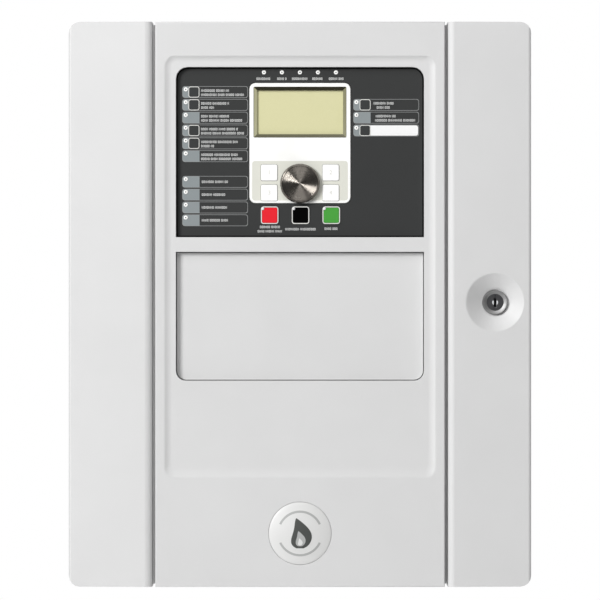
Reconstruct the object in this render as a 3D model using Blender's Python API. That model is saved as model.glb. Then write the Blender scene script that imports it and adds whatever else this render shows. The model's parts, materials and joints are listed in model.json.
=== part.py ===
"""Fire alarm control panel: a wall cabinet with a hinged front, built as separate pieces.

Metres, +Z up. The origin is the centre of the wall face and the front faces -Y. Every span is a
pair (low, high), and along Y the low value is the front.
"""

import math

import bmesh
import bpy
from mathutils import Matrix, Vector

# Driving sizes
DOOR_WIDTH = 0.421
DOOR_HEIGHT = 0.514
BOX_WIDTH = 0.406
BOX_HEIGHT = 0.500
WALL = 0.0025
GAP = 0.0003
CORNER = 0.010

# Levels along Y, from the wall to the front
BOX_RIM = -0.070
DOOR_REAR = -0.073
FRAME_REAR = -0.079
FRAME_FRONT = -0.0815
BOARD_REAR = -0.090
BOARD_FRONT = -0.0916
GUIDE_REAR = -0.093
GUIDE_FRONT = -0.095
LEDGE_REAR = -0.097
PANEL_REAR = -0.1005
INSERT_FRONT = -0.1015
PANEL_FRONT = -0.1025
BEZEL_FRONT = -0.1035
RECESS_FLOOR = -0.1078
GROOVE_FLOOR = -0.1010
FRONT = -0.110

# Front face layout
FASCIA_HALF = 0.1316
WING_INNER = 0.1344
WING_DROP = 0.0045
ROLL_WIDTH = 0.0065
ROLL_DEPTH = 0.0045
PANEL_HALF = 0.1127
PANEL_Z = (0.0612, 0.2157)
PANEL_CORNER = 0.0106
INSERT_Z = (-0.0693, 0.0475)
INSERT_CORNER = 0.0088
BEZEL_HALF = 0.046
BEZEL_Z = (0.0921, 0.2015)
WINDOW_HALF = 0.0423
WINDOW_Z = (0.1518, 0.1981)
BADGE_Z = -0.2082
BADGE_RADIUS = 0.0284
BADGE_BOW = 0.0036

# Lamps and keys
ROW_PITCH = 0.01168
FIRST_ROW_Z = 0.1933
LOWER_ROW_Z = 0.1116
LOWER_ROW_PITCH = 0.01165
LAMP_LIFT = 0.00245
LAMP_RADIUS = 0.0017
LEFT_LAMP_X = -0.104
RIGHT_LAMP_X = 0.0515
TOP_LAMP_Z = 0.2112
TOP_LAMP_PITCH = 0.0164
LEFT_KEY_X = -0.0966
LEFT_KEY_ROWS = (1, 2, 4, 5)
RIGHT_KEY_X = 0.0593
RIGHT_KEY_ROWS = (2, 4)
SMALL_KEY = 0.0085
BIG_KEY = 0.0140
BIG_KEY_XS = (-0.0276, 0.0005, 0.0285)
BIG_KEY_Z = 0.0811
KEY_LAMP_OFFSET = (-0.0063, 0.0060)
KEY_LAMP_RADIUS = 0.0013
FUNCTION_KEY = (0.0151, 0.0148)
FUNCTION_KEY_X = 0.028
FUNCTION_KEY_ZS = (0.1199, 0.1015)
KEY_REAR = -0.0975
STEM_REAR = -0.0935
DIAL_Z = 0.1099
DIAL_RADIUS = 0.018

# Lock, hinge, wall holes and cable entries
LOCK_X = 0.1778
LOCK_Z = 0.0018
DISH_RADIUS = 0.027
DISH_DEPTH = 0.0085
DISH_LIP = (0.0012, 0.00033)
SEAT_RADIUS = 0.0119
HINGE_X = -0.207
HINGE_Y = -0.072
HINGE_ZS = {"upper": 0.180, "lower": -0.180}
KNUCKLE_RADIUS = 0.0034
KNUCKLE_LENGTH = 0.012
PIN_RADIUS = 0.0016
LOCK_SEAT = -0.0980
SPANNER_HOLE = 0.020
WALL_HOLE_X = 0.185
WALL_HOLE_Z = 0.205
ENTRY_XS = (-0.120, -0.040, 0.040, 0.120)
ENTRY_Y = -0.038

SIDES = 32
CORNER_STEPS = 4
TINY = 0.0001
BEYOND = 0.010

COLOURS = {
    "cabinet_grey": ((0.72, 0.72, 0.72), 0.45, 0.0),
    "fascia_grey": ((0.68, 0.68, 0.68), 0.45, 0.0),
    "overlay_charcoal": ((0.055, 0.055, 0.057), 0.5, 0.0),
    "white_plastic": ((0.85, 0.85, 0.82), 0.35, 0.0),
    "lcd_olive": ((0.68, 0.68, 0.38), 0.3, 0.0),
    "lamp_clear": ((0.8, 0.82, 0.8), 0.25, 0.0),
    "key_red": ((0.78, 0.03, 0.04), 0.35, 0.0),
    "key_black": ((0.01, 0.01, 0.01), 0.35, 0.0),
    "key_green": ((0.08, 0.40, 0.07), 0.35, 0.0),
    "dial_metal": ((0.35, 0.33, 0.30), 0.3, 1.0),
    "steel": ((0.55, 0.55, 0.54), 0.35, 1.0),
    "chrome": ((0.75, 0.75, 0.75), 0.15, 1.0),
    "brass": ((0.70, 0.52, 0.20), 0.3, 1.0),
    "circuit_green": ((0.02, 0.16, 0.07), 0.5, 0.0),
    "terminal_green": ((0.05, 0.30, 0.10), 0.5, 0.0),
    "black_plastic": ((0.02, 0.02, 0.022), 0.5, 0.0),
    "black_rubber": ((0.03, 0.03, 0.03), 0.8, 0.0),
}


def span(centre, size):
    """The pair (low, high) of a length laid round a centre."""
    return (centre - size / 2, centre + size / 2)


def outline(xs, zs, corners, inset=0.0):
    """Points of a rounded rectangle in XZ; the four corner radii run anticlockwise from the lower left."""
    left, right = xs[0] + inset, xs[1] - inset
    low, high = zs[0] + inset, zs[1] - inset
    turns = ((left, low, 1, 1, 180), (right, low, -1, 1, 270), (right, high, -1, -1, 0), (left, high, 1, -1, 90))
    points = []
    for (x, z, inward_x, inward_z, start), corner in zip(turns, corners):
        steps = CORNER_STEPS if corner else 0
        radius = max(corner - inset, TINY) if corner else 0.0
        for step in range(steps + 1):
            angle = math.radians(start + 90 * step / max(steps, 1))
            points.append((
                x + inward_x * radius + radius * math.cos(angle),
                z + inward_z * radius + radius * math.sin(angle),
            ))
    return points


def as_object(name, mesh):
    """A scene object from a bmesh, with its faces turned outwards."""
    bmesh.ops.recalc_face_normals(mesh, faces=mesh.faces)
    data = bpy.data.meshes.new(name)
    mesh.to_mesh(data)
    mesh.free()
    made = bpy.data.objects.new(name, data)
    bpy.context.scene.collection.objects.link(made)
    return made


def loft(name, loops):
    """One closed body through loops of equally many points, capped at both ends."""
    mesh = bmesh.new()
    rings = [[mesh.verts.new(point) for point in loop] for loop in loops]
    for ring, following in zip(rings, rings[1:]):
        for index, corner in enumerate(ring):
            after = (index + 1) % len(ring)
            mesh.faces.new((corner, ring[after], following[after], following[index]))
    mesh.faces.new(rings[0])
    mesh.faces.new(rings[-1])
    return as_object(name, mesh)


def block(name, xs, ys, zs, corners=0.0, edge=0.0, edge_steps=2):
    """A box with rounded corners in XZ and, where edge isn't 0, a rounded front edge."""
    if not isinstance(corners, tuple):
        corners = (corners,) * 4
    levels = [(ys[1], 0.0)]
    if edge:
        for step in range(edge_steps + 1):
            angle = math.radians(90 * step / edge_steps)
            levels.append((ys[0] + edge * (1 - math.sin(angle)), edge * (1 - math.cos(angle))))
    else:
        levels.append((ys[0], 0.0))
    loops = [[(x, y, z) for x, z in outline(xs, zs, corners, inset)] for y, inset in levels]
    return loft(name, loops)


def revolve(name, profile, centre, axis="Y", sides=SIDES):
    """A turned body from (radius, level) points; a profile that starts off the axis closes on itself."""
    mesh = bmesh.new()
    rings = []
    for radius, level in profile:
        ring = []
        for index in range(sides if radius else 1):
            angle = math.tau * index / sides
            across = centre[0] + radius * math.cos(angle)
            along = centre[1] + radius * math.sin(angle)
            ring.append(mesh.verts.new((across, level, along) if axis == "Y" else (across, along, level)))
        rings.append(ring)
    pairs = list(zip(rings, rings[1:]))
    if profile[0][0]:
        pairs.append((rings[-1], rings[0]))
    for low, high in pairs:
        for index in range(sides):
            after = index + 1
            corners = (
                low[index % len(low)],
                low[after % len(low)],
                high[after % len(high)],
                high[index % len(high)],
            )
            mesh.faces.new(dict.fromkeys(corners))
    return as_object(name, mesh)


def rod(name, radius, levels, centre, axis="Y", sides=SIDES):
    """A plain cylinder between two levels."""
    low, high = levels
    return revolve(name, [(0.0, low), (radius, low), (radius, high), (0.0, high)], centre, axis, sides)


def tube(name, inner, outer, levels, centre, axis="Y", sides=SIDES):
    """A plain ring between two levels."""
    low, high = levels
    return revolve(name, [(inner, low), (outer, low), (outer, high), (inner, high)], centre, axis, sides)


def combine(body, operation, tools):
    """Applies one Boolean for each tool in turn and removes the tools."""
    for tool in tools:
        modifier = body.modifiers.new(operation, "BOOLEAN")
        modifier.operation = operation
        modifier.solver = "EXACT"
        modifier.object = tool
        graph = bpy.context.evaluated_depsgraph_get()
        result = bpy.data.meshes.new_from_object(body.evaluated_get(graph))
        body.modifiers.clear()
        body.data = result
        bpy.data.objects.remove(tool)
    return body


def cut(body, *tools):
    return combine(body, "DIFFERENCE", tools)


def join(body, *tools):
    return combine(body, "UNION", tools)


def keep_inside(body, tool):
    return combine(body, "INTERSECT", (tool,))


def row_z(row):
    """Height of a left-hand row's middle; rows count from 0, and rows from 7 on belong to the lower group."""
    if row < 7:
        return FIRST_ROW_Z - ROW_PITCH * row
    return LOWER_ROW_Z - LOWER_ROW_PITCH * (row - 7)


def knuckle_tube(levels):
    """The barrel of a hinge leaf, bored for the pin."""
    return tube("knuckle", PIN_RADIUS + GAP, KNUCKLE_RADIUS, levels, (HINGE_X, HINGE_Y), "Z", 16)


# Cabinet


def back_box():
    body = block("back_box", span(0, BOX_WIDTH), (BOX_RIM, 0), span(0, BOX_HEIGHT), corners=0.006)
    inner_width, inner_height = BOX_WIDTH - 2 * WALL, BOX_HEIGHT - 2 * WALL
    cut(body, block("hollow", span(0, inner_width), (BOX_RIM - BEYOND, -WALL), span(0, inner_height), 0.004))
    for x in (-0.162, 0.162):
        for z in (-0.125, 0.225):
            join(body, rod("boss", 0.005, (-0.0097, -WALL / 2), (x, z), sides=12))
    for x in (-WALL_HOLE_X, WALL_HOLE_X):
        for z in (-WALL_HOLE_Z, WALL_HOLE_Z):
            cut(body, rod("screw_hole", 0.0055, (-WALL - TINY, TINY), (x, z), sides=16))
            cut(body, block("screw_slot", span(x, 0.0052), (-WALL - TINY, TINY), (z, z + 0.011)))
    for x in ENTRY_XS:
        cut(body, rod("entry", 0.0103, (BOX_HEIGHT / 2 - 2 * WALL, BOX_HEIGHT / 2 + WALL), (x, ENTRY_Y), "Z", 20))
    for z in HINGE_ZS.values():
        web_z = (z - KNUCKLE_LENGTH + GAP, z - GAP)
        web_front = HINGE_Y + PIN_RADIUS + 2 * GAP
        join(body, block("web", (HINGE_X - 0.001, -0.2018), (web_front, -0.062), web_z))
        join(body, knuckle_tube((z - KNUCKLE_LENGTH, z)))
    return body


def entry_plug(number, x):
    """A rubber blank pushed into a cable entry from inside, flush with the cabinet's top."""
    top = BOX_HEIGHT / 2
    under = top - WALL - GAP
    profile = [
        (0.0, top - 0.0009),
        (0.0075, top - 0.0009),
        (0.0083, top - GAP),
        (0.0100, top - GAP),
        (0.0100, under),
        (0.0128, under),
        (0.0128, under - 0.0010),
        (0.0118, under - 0.0018),
        (0.0, under - 0.0018),
    ]
    return revolve(f"entry_plug_{number}", profile, (x, ENTRY_Y), "Z", 20)


def hinge_pin(place, z):
    profile = [
        (0.0, z - KNUCKLE_LENGTH - 0.0023),
        (0.0028, z - KNUCKLE_LENGTH - 0.0023),
        (0.0028, z - KNUCKLE_LENGTH - GAP),
        (PIN_RADIUS, z - KNUCKLE_LENGTH - GAP),
        (PIN_RADIUS, z + KNUCKLE_LENGTH),
        (PIN_RADIUS / 2, z + KNUCKLE_LENGTH + 0.001),
        (0.0, z + KNUCKLE_LENGTH + 0.001),
    ]
    return revolve(f"hinge_pin_{place}", profile, (HINGE_X, HINGE_Y), "Z", 16)


def lock_keeper():
    base_x = BOX_WIDTH / 2 - WALL - GAP
    zs = (-0.016, 0.020)
    body = block("lock_keeper", (base_x - 0.0018, base_x), (-0.0685, -0.050), zs)
    return join(body, block("lip", (0.1885, base_x - 0.0005), (-0.0685, -0.0665), zs))


def earth_stud():
    profile = [(0.0, -0.020), (0.0025, -0.020), (0.0030, -0.019), (0.0030, -0.006)]
    profile += [(0.0060, -0.006), (0.0060, -WALL - GAP), (0.0, -WALL - GAP)]
    return revolve("earth_stud", profile, (-0.186, -0.100), sides=12)


# Electronics in the cabinet


def chassis_plate():
    body = block("chassis_plate", span(0, 0.340), (-0.0115, -0.010), (-0.135, 0.235), corners=0.004)
    for x in (-0.155, 0.155):
        for z in (0.025, 0.190):
            join(body, rod("standoff", 0.003, (-0.0197, -0.0105), (x, z), sides=12))
    return body


def main_board():
    body = block("main_board", span(0, 0.330), (-0.0216, -0.020), (0.015, 0.200), corners=0.003)
    for x, z, width, height, depth in (
        (0.0, 0.120, 0.030, 0.030, 0.003),
        (-0.090, 0.110, 0.050, 0.020, 0.009),
        (0.090, 0.110, 0.050, 0.020, 0.009),
        (-0.120, 0.050, 0.018, 0.016, 0.014),
        (-0.080, 0.050, 0.018, 0.016, 0.014),
        (-0.040, 0.050, 0.018, 0.016, 0.014),
        (0.060, 0.050, 0.060, 0.010, 0.009),
    ):
        join(body, block("chip", span(x, width), (-0.0212 - depth, -0.0212), span(z, height)))
    return body


def terminal_block(side, x_low):
    count, pitch = 12, 0.0125
    body = block(f"terminal_block_{side}", (x_low, x_low + count * pitch), (-0.034, -0.0219), (0.178, 0.194))
    for index in range(count):
        middle = x_low + pitch * (index + 0.5)
        cut(body, block("wire_hole", span(middle, 0.0065), (-0.030, -0.0245), (0.186, 0.196)))
    return body


def power_supply():
    body = block("power_supply", (-0.165, -0.055), (-0.050, -0.0118), (-0.128, -0.008), 0.003, 0.0015)
    for index in range(7):
        slot = span(-0.110 + 0.011 * (index - 3), 0.0045)
        cut(body, block("vent", slot, (-0.051, -0.047), (-0.105, -0.031)))
    return body


def battery(side, x_low):
    """A sealed lead-acid battery of the usual 7 Ah case, lying on its largest face."""
    top = -0.1532
    body = block(f"battery_{side}", (x_low, x_low + 0.151), (-0.068, -0.003), (top - 0.094, top), 0.003, 0.002)
    for x in (x_low + 0.020, x_low + 0.131):
        join(body, block("tab", span(x, 0.006), (-0.058, -0.057), (top - 0.002, top + 0.006)))
    return body


def battery_clamp():
    body = block("battery_clamp", (-0.170, 0.170), (-0.045, -WALL - GAP), (-0.1529, -0.1514))
    return join(body, block("foot", (-0.170, 0.170), (-0.0043, -WALL - GAP), (-0.152, -0.136)))


# Door structure


def door_frame():
    """The steel plate that the hinge knuckles and the mouldings fix to, open behind the lock for a spanner."""
    xs, zs = span(0, DOOR_WIDTH - 0.006), span(0, DOOR_HEIGHT - 0.006)
    body = block("door_frame", xs, (FRAME_FRONT, FRAME_REAR), zs, corners=0.006)
    for z in HINGE_ZS.values():
        knuckle = (z + GAP, z + GAP + KNUCKLE_LENGTH)
        arm = (HINGE_X + TINY, HINGE_X + 0.0031)
        arm_z = (knuckle[0] + GAP, knuckle[1] - GAP)
        arm_rear = HINGE_Y - PIN_RADIUS - 2 * GAP
        join(body, block("arm", arm, (FRAME_REAR - 0.001, arm_rear), arm_z))
        join(body, knuckle_tube(knuckle))
    through = (FRAME_FRONT - WALL, FRAME_REAR + WALL)
    return cut(body, rod("spanner_hole", SPANNER_HOLE, through, (LOCK_X, LOCK_Z)))


def wing_section(inset):
    """Points in XY of a wing's cross-section, from the groove to the outer side, moved inwards by inset."""
    inner, outer = WING_INNER + inset, DOOR_WIDTH / 2 - inset
    edge = 0.0025 - inset / 2
    level = FRONT + inset
    roll_x = inner + ROLL_WIDTH
    points = [(inner, DOOR_REAR + (BEYOND if inset else 0.0))]
    for step in range(6):
        angle = math.radians(18 * step)
        points.append((roll_x - ROLL_WIDTH * math.cos(angle), level + ROLL_DEPTH * (1 - math.sin(angle))))
    for step in range(4):
        angle = math.radians(30 * step)
        across = outer - edge * (1 - math.sin(angle))
        points.append((across, level + WING_DROP + edge * (1 - math.cos(angle))))
    points.append((outer, points[0][1]))
    return points


def wing_prism(name, side, inset):
    """The wing's cross-section run from bottom to top, with the outer corners rounded in XZ."""
    high = DOOR_HEIGHT / 2 - inset
    loops = [[(side * x, y, z) for x, y in wing_section(inset)] for z in (-high, high)]
    rounding = CORNER - inset
    corners = (0.0, rounding, rounding, 0.0) if side > 0 else (rounding, 0.0, 0.0, rounding)
    edges = sorted((side * (WING_INNER - WALL), side * (DOOR_WIDTH / 2 - inset)))
    mask = block("mask", edges, (FRONT - BEYOND, DOOR_REAR + 2 * BEYOND), (-high, high), corners)
    return keep_inside(loft(name, loops), mask)


def wing(name, side, hollow_keep=None):
    """One wing as a shell open to the rear; hollow_keep is a solid that stays inside it."""
    body = wing_prism(name, side, 0.0)
    hollow = wing_prism("hollow", side, WALL)
    if hollow_keep:
        cut(hollow, hollow_keep)
    cut(body, hollow)
    groove_side = sorted((side * (WING_INNER - WALL), side * 0.180))
    rear = (FRAME_FRONT - 0.0005, DOOR_REAR + BEYOND)
    clear_z = span(0, DOOR_HEIGHT - 2 * WALL)
    return cut(body, block("rear_clearance", groove_side, rear, clear_z))


def left_wing():
    body = wing("left_wing", -1)
    for z in HINGE_ZS.values():
        notch = span(z, 2 * KNUCKLE_LENGTH + 0.008)
        cut(body, block("hinge_notch", (-0.220, -0.200), (-0.0765, DOOR_REAR + BEYOND), notch))
    return body


def turned_about(body, angle, point):
    """Turns a body about the upright line through a point."""
    turn = Matrix.Translation(point) @ Matrix.Rotation(angle, 4, "Z") @ Matrix.Translation(-Vector(point))
    body.data.transform(turn)
    return body


def dish_cutter():
    """A cone with a softened rim that hollows the wing round the lock, square to the wing's sloping face."""
    slope = WING_DROP / (DOOR_WIDTH / 2 - WING_INNER)
    level = FRONT + slope * (LOCK_X - WING_INNER)
    back, fall = DISH_LIP
    profile = [
        (0.0, level + DISH_DEPTH),
        (SEAT_RADIUS, level + DISH_DEPTH),
        (DISH_RADIUS - back, level + fall),
        (DISH_RADIUS + back, level - fall),
        (DISH_RADIUS + back, FRONT - BEYOND),
        (0.0, FRONT - BEYOND),
    ]
    cutter = revolve("dish", profile, (LOCK_X, LOCK_Z), sides=48)
    return turned_about(cutter, math.atan(slope), (LOCK_X, level, LOCK_Z))


def right_wing():
    centre = (LOCK_X, LOCK_Z)
    boss = rod("boss", 0.030, (FRONT - BEYOND, LOCK_SEAT + 0.003), centre, sides=48)
    body = wing("right_wing", 1, boss)
    cut(body, dish_cutter())
    cut(body, rod("seat", SEAT_RADIUS, (FRONT - BEYOND, LOCK_SEAT), centre))
    return cut(body, rod("lock_hole", 0.0093, (FRONT, LOCK_SEAT + BEYOND), centre))


def recess_cutter():
    """A shallow tray whose sides level out towards its floor; its lower side is the widest."""
    loops = []
    for step in range(CORNER_STEPS, -1, -1):
        inset = step / CORNER_STEPS
        level = FRONT + (RECESS_FLOOR - FRONT) * (1 - (1 - inset) ** 2)
        zs = (-0.159 + 0.012 * inset, 0.226 - 0.0055 * inset)
        corners = (0.0095 - 0.0055 * inset,) * 4
        loops.append([(x, level, z) for x, z in outline(span(0, 0.248 - 0.015 * inset), zs, corners)])
    loops.append([(x, FRONT - WALL, z) for x, _, z in loops[-1]])
    return loft("recess", loops)


def centre_fascia():
    xs = (-FASCIA_HALF, FASCIA_HALF)
    body = block("centre_fascia", xs, (FRONT, DOOR_REAR), span(0, DOOR_HEIGHT), edge=0.0008)
    inner = (-FASCIA_HALF + WALL, FASCIA_HALF - WALL)
    zs = span(0, DOOR_HEIGHT - 2 * WALL)
    cut(body, block("hollow", inner, (FRONT + WALL, DOOR_REAR + BEYOND), zs))
    cut(body, block("rear_clearance", span(0, 0.300), (FRAME_FRONT - 0.0005, DOOR_REAR + BEYOND), zs))
    join(body, block("pan", span(0, 0.253), (FRONT + WALL - TINY, LEDGE_REAR), (-0.1615, 0.2285), 0.010))
    for side in (-1, 1):
        reach = sorted((side * (FASCIA_HALF - TINY), side * (WING_INNER - GAP)))
        join(body, block("groove_floor", reach, (GROOVE_FLOOR, GROOVE_FLOOR + 0.0015), zs))
    cut(body, recess_cutter())
    window = (-PANEL_HALF - 0.0002, PANEL_HALF + 0.0002)
    window_z = (PANEL_Z[0] - 0.0002, PANEL_Z[1] + 0.0002)
    corners = (0.0, 0.0, PANEL_CORNER, PANEL_CORNER)
    cut(body, block("panel_seat", window, (FRONT, PANEL_REAR + GAP), window_z, corners))
    cut(body, block("panel_opening", span(0, 0.217), (FRONT, LEDGE_REAR + WALL), (0.064, 0.214)))
    insert_z = (INSERT_Z[0] - 0.0002, INSERT_Z[1] + 0.0002)
    corners = (INSERT_CORNER, INSERT_CORNER, 0.0, 0.0)
    cut(body, block("insert_seat", window, (FRONT, INSERT_FRONT + 0.0023), insert_z, corners))
    return cut(body, rod("badge_seat", BADGE_RADIUS + GAP, (FRONT - WALL, FRONT + 0.0012), (0, BADGE_Z), sides=48))


def insert_panel():
    corners = (INSERT_CORNER, INSERT_CORNER, 0.0, 0.0)
    ys = (INSERT_FRONT, INSERT_FRONT + 0.002)
    return block("insert_panel", (-PANEL_HALF, PANEL_HALF), ys, INSERT_Z, corners, 0.0004, 1)


def badge():
    rim = FRONT - 0.0006
    profile = [(0.0, rim - BADGE_BOW)]
    for step in range(1, 7):
        fraction = step / 6
        profile.append((BADGE_RADIUS * fraction, rim - BADGE_BOW * (1 - fraction**2)))
    profile += [(BADGE_RADIUS, FRONT + 0.0009), (0.0, FRONT + 0.0009)]
    return revolve("badge", profile, (0, BADGE_Z), sides=48)


# Operator panel


def top_lamps():
    return [(TOP_LAMP_PITCH * index, TOP_LAMP_Z) for index in (-2, -1, 0, 1, 2)]


def left_lamps():
    return [(LEFT_LAMP_X, row_z(row) + LAMP_LIFT) for row in (0, 1, 2, 3, 4, 5, 7, 8, 9, 10)]


def right_lamps():
    return [(RIGHT_LAMP_X, row_z(row) + LAMP_LIFT) for row in (1, 2, 3)]


def key_lamps():
    return [(x + KEY_LAMP_OFFSET[0], BIG_KEY_Z + KEY_LAMP_OFFSET[1]) for x in BIG_KEY_XS]


def small_key_places():
    left = [(LEFT_KEY_X, row_z(row - 1)) for row in LEFT_KEY_ROWS]
    return left + [(RIGHT_KEY_X, row_z(row - 1)) for row in RIGHT_KEY_ROWS]


def indicator_panel():
    corners = (0.0, 0.0, PANEL_CORNER, PANEL_CORNER)
    xs = (-PANEL_HALF, PANEL_HALF)
    through = (PANEL_FRONT - WALL, PANEL_REAR + WALL)
    body = block("indicator_panel", xs, (PANEL_FRONT, PANEL_REAR), PANEL_Z, corners)
    bezel_z = (BEZEL_Z[0] - GAP, BEZEL_Z[1] + GAP)
    cut(body, block("bezel_opening", span(0, 2 * BEZEL_HALF + 2 * GAP), through, bezel_z, 0.0058))
    for x, z in small_key_places():
        cut(body, block("key_opening", span(x, SMALL_KEY + 0.0006), through, span(z, SMALL_KEY + 0.0006), 0.0015))
    for x in BIG_KEY_XS:
        cut(body, block("key_opening", span(x, BIG_KEY + 0.0006), through, span(BIG_KEY_Z, BIG_KEY + 0.0006), 0.002))
    for place in key_lamps():
        cut(body, rod("lamp_hole", KEY_LAMP_RADIUS + GAP, through, place, sides=12))
    for place in top_lamps() + left_lamps() + right_lamps():
        cut(body, rod("lamp_hole", LAMP_RADIUS + GAP, through, place, sides=12))
    return body


def light_guide(name, lamps, radius, bar_x, bar_z):
    """One clear moulding: a bar behind the panel with a lens on a stalk for each lamp."""
    body = block(name, bar_x, (GUIDE_FRONT, GUIDE_REAR), bar_z)
    for place in lamps:
        front = PANEL_FRONT - 0.0003
        profile = [(0.0, GUIDE_FRONT + 0.001), (radius, GUIDE_FRONT + 0.001)]
        profile += [(radius, front + 0.0004), (radius * 0.7, front), (0.0, front)]
        join(body, revolve("lens", profile, place, sides=12))
    return body


def light_guides():
    """The four mouldings, named by where they shine."""
    top = light_guide("light_guide_top", top_lamps(), LAMP_RADIUS, (-0.036, 0.036), (0.2097, 0.2127))
    left = light_guide("light_guide_left", left_lamps(), LAMP_RADIUS, (-0.1056, -0.1024), (0.075, 0.198))
    right = light_guide("light_guide_right", right_lamps(), LAMP_RADIUS, (0.0499, 0.0531), (0.158, 0.187))
    keys = light_guide("light_guide_keys", key_lamps(), KEY_LAMP_RADIUS, (-0.036, 0.024), (0.0860, 0.0882))
    return top, left, right, keys


def display_bezel():
    xs = (-BEZEL_HALF, BEZEL_HALF)
    through = (BEZEL_FRONT - WALL, LEDGE_REAR)
    rear = -0.098
    body = block("display_bezel", xs, (BEZEL_FRONT, rear), BEZEL_Z, 0.0055, 0.0006)
    flange_z = (BEZEL_Z[0] - WALL, BEZEL_Z[1] + WALL)
    join(body, block("flange", span(0, 0.097), (PANEL_REAR + GAP, rear), flange_z))
    cut(body, block("window", (-WINDOW_HALF, WINDOW_HALF), through, WINDOW_Z, 0.001))
    cut(body, rod("hub_hole", 0.005, through, (0, DIAL_Z)))
    width, height = FUNCTION_KEY
    for x in (-FUNCTION_KEY_X, FUNCTION_KEY_X):
        for z in FUNCTION_KEY_ZS:
            cut(body, block("key_opening", span(x, width + 0.0006), through, span(z, height + 0.0006), 0.0018))
    return body


def lcd_glass():
    xs, zs = (-WINDOW_HALF + GAP, WINDOW_HALF - GAP), (WINDOW_Z[0] + GAP, WINDOW_Z[1] - GAP)
    return block("lcd_glass", xs, (-0.1005, -0.098), zs)


def lcd_module():
    return block("lcd_module", span(0, 0.093), (-0.0977, BOARD_FRONT - GAP), (0.1495, 0.2005))


def ui_board():
    return block("ui_board", span(0, 0.212), (BOARD_FRONT, BOARD_REAR), (0.067, 0.211), 0.003)


def ui_rear_cover():
    front = LEDGE_REAR + GAP
    body = block("ui_rear_cover", span(0, 0.221), (front, -0.084), (0.0625, 0.2155), 0.004)
    return cut(body, block("hollow", span(0, 0.217), (front - WALL, -0.086), (0.0645, 0.2135), 0.003))


def buzzer():
    centre = (0.080, 0.120)
    body = rod("buzzer", 0.009, (-0.0985, BOARD_FRONT - GAP), centre, sides=24)
    return cut(body, rod("sound_hole", 0.0015, (-0.100, -0.095), centre, sides=12))


# Keys


def key(name, x, z, width, height, front):
    """A key cap with a stem to its switch; its origin is the middle of its face."""
    body = block(name, span(x, width), (front, KEY_REAR), span(z, height), 0.0015, 0.0005)
    join(body, rod("stem", 0.0015, (KEY_REAR - 0.0005, STEM_REAR), (x, z), sides=12))
    return move_origin(body, (x, front, z))


def big_keys():
    keys = []
    for name, x in zip(("sounder_key", "silence_key", "reset_key"), BIG_KEY_XS):
        made = key(name, x, BIG_KEY_Z, BIG_KEY, BIG_KEY, BEZEL_FRONT)
        place = (KEY_LAMP_OFFSET[0], KEY_LAMP_OFFSET[1])
        notch = rod("notch", KEY_LAMP_RADIUS + 0.0004, (-WALL, BEYOND), place, sides=12)
        notch.location = made.location
        keys.append(cut(made, notch))
    return keys


def function_keys():
    places = [(x, z) for z in FUNCTION_KEY_ZS for x in (-FUNCTION_KEY_X, FUNCTION_KEY_X)]
    front = BEZEL_FRONT - 0.0008
    return [key(f"function_key_{n}", x, z, *FUNCTION_KEY, front) for n, (x, z) in enumerate(places, 1)]


def small_keys():
    front = PANEL_FRONT - 0.0006
    places = small_key_places()
    return [key(f"zone_key_{n}", x, z, SMALL_KEY, SMALL_KEY, front) for n, (x, z) in enumerate(places, 1)]


# Jog dial


def encoder_housing():
    body = block("encoder_housing", span(0, 0.013), (-0.096, BOARD_FRONT - GAP), span(DIAL_Z, 0.013))
    join(body, rod("bushing", 0.0045, (-0.100, -0.095), (0, DIAL_Z)))
    return cut(body, rod("bore", 0.0033, (-0.101, -0.0925), (0, DIAL_Z)))


def encoder_rotor():
    return tube("encoder_rotor", 0.0018, 0.003, (-0.1003, -0.093), (0, DIAL_Z))


def encoder_shaft():
    return rod("encoder_shaft", 0.0015, (-0.1057, -0.0942), (0, DIAL_Z))


def jog_dial():
    profile = [
        (0.0, -0.1088),
        (0.0128, -0.1088),
        (0.0140, -0.1094),
        (0.0152, -0.1096),
        (0.0165, -0.1090),
        (DIAL_RADIUS, -0.1070),
        (DIAL_RADIUS, -0.1046),
        (0.0165, -0.1046),
        (0.0165, -0.1068),
        (0.0040, -0.1068),
        (0.0040, -0.1016),
        (0.0018, -0.1016),
        (0.0018, -0.1060),
        (0.0, -0.1060),
    ]
    return revolve("jog_dial", profile, (0, DIAL_Z), sides=48)


# Lock


def lock_barrel():
    centre = (LOCK_X, LOCK_Z)
    flange = LOCK_SEAT - GAP
    profile = [
        (0.0083, flange - 0.0022),
        (0.0107, flange - 0.0022),
        (0.0113, flange - 0.0016),
        (0.0113, flange),
        (0.0090, flange),
        (0.0090, -0.0675),
        (0.0063, -0.0675),
        (0.0063, flange + 0.0008),
        (0.0083, flange + 0.0008),
    ]
    return revolve("lock_barrel", profile, centre)


def lock_nut():
    body = rod("lock_nut", 0.0135, (LOCK_SEAT + 0.0033, LOCK_SEAT + 0.0073), (LOCK_X, LOCK_Z), sides=6)
    return cut(body, rod("bore", 0.0093, (LOCK_SEAT, LOCK_SEAT + BEYOND), (LOCK_X, LOCK_Z)))


def lock_plug():
    front = LOCK_SEAT - GAP - 0.0026
    profile = [(0.0, front), (0.0080, front), (0.0080, LOCK_SEAT + 0.0002), (0.0060, LOCK_SEAT + 0.0002)]
    profile += [(0.0060, -0.0668), (0.0, -0.0668)]
    body = revolve("lock_plug", profile, (LOCK_X, LOCK_Z))
    tail = span(LOCK_X, 0.006)
    join(body, block("tail", tail, (-0.068, -0.062), span(LOCK_Z, 0.006)))
    cut(body, block("key_slot", span(LOCK_X, 0.002), (front - WALL, front + 0.012), span(LOCK_Z, 0.0085)))
    return move_origin(body, (LOCK_X, front, LOCK_Z))


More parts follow.
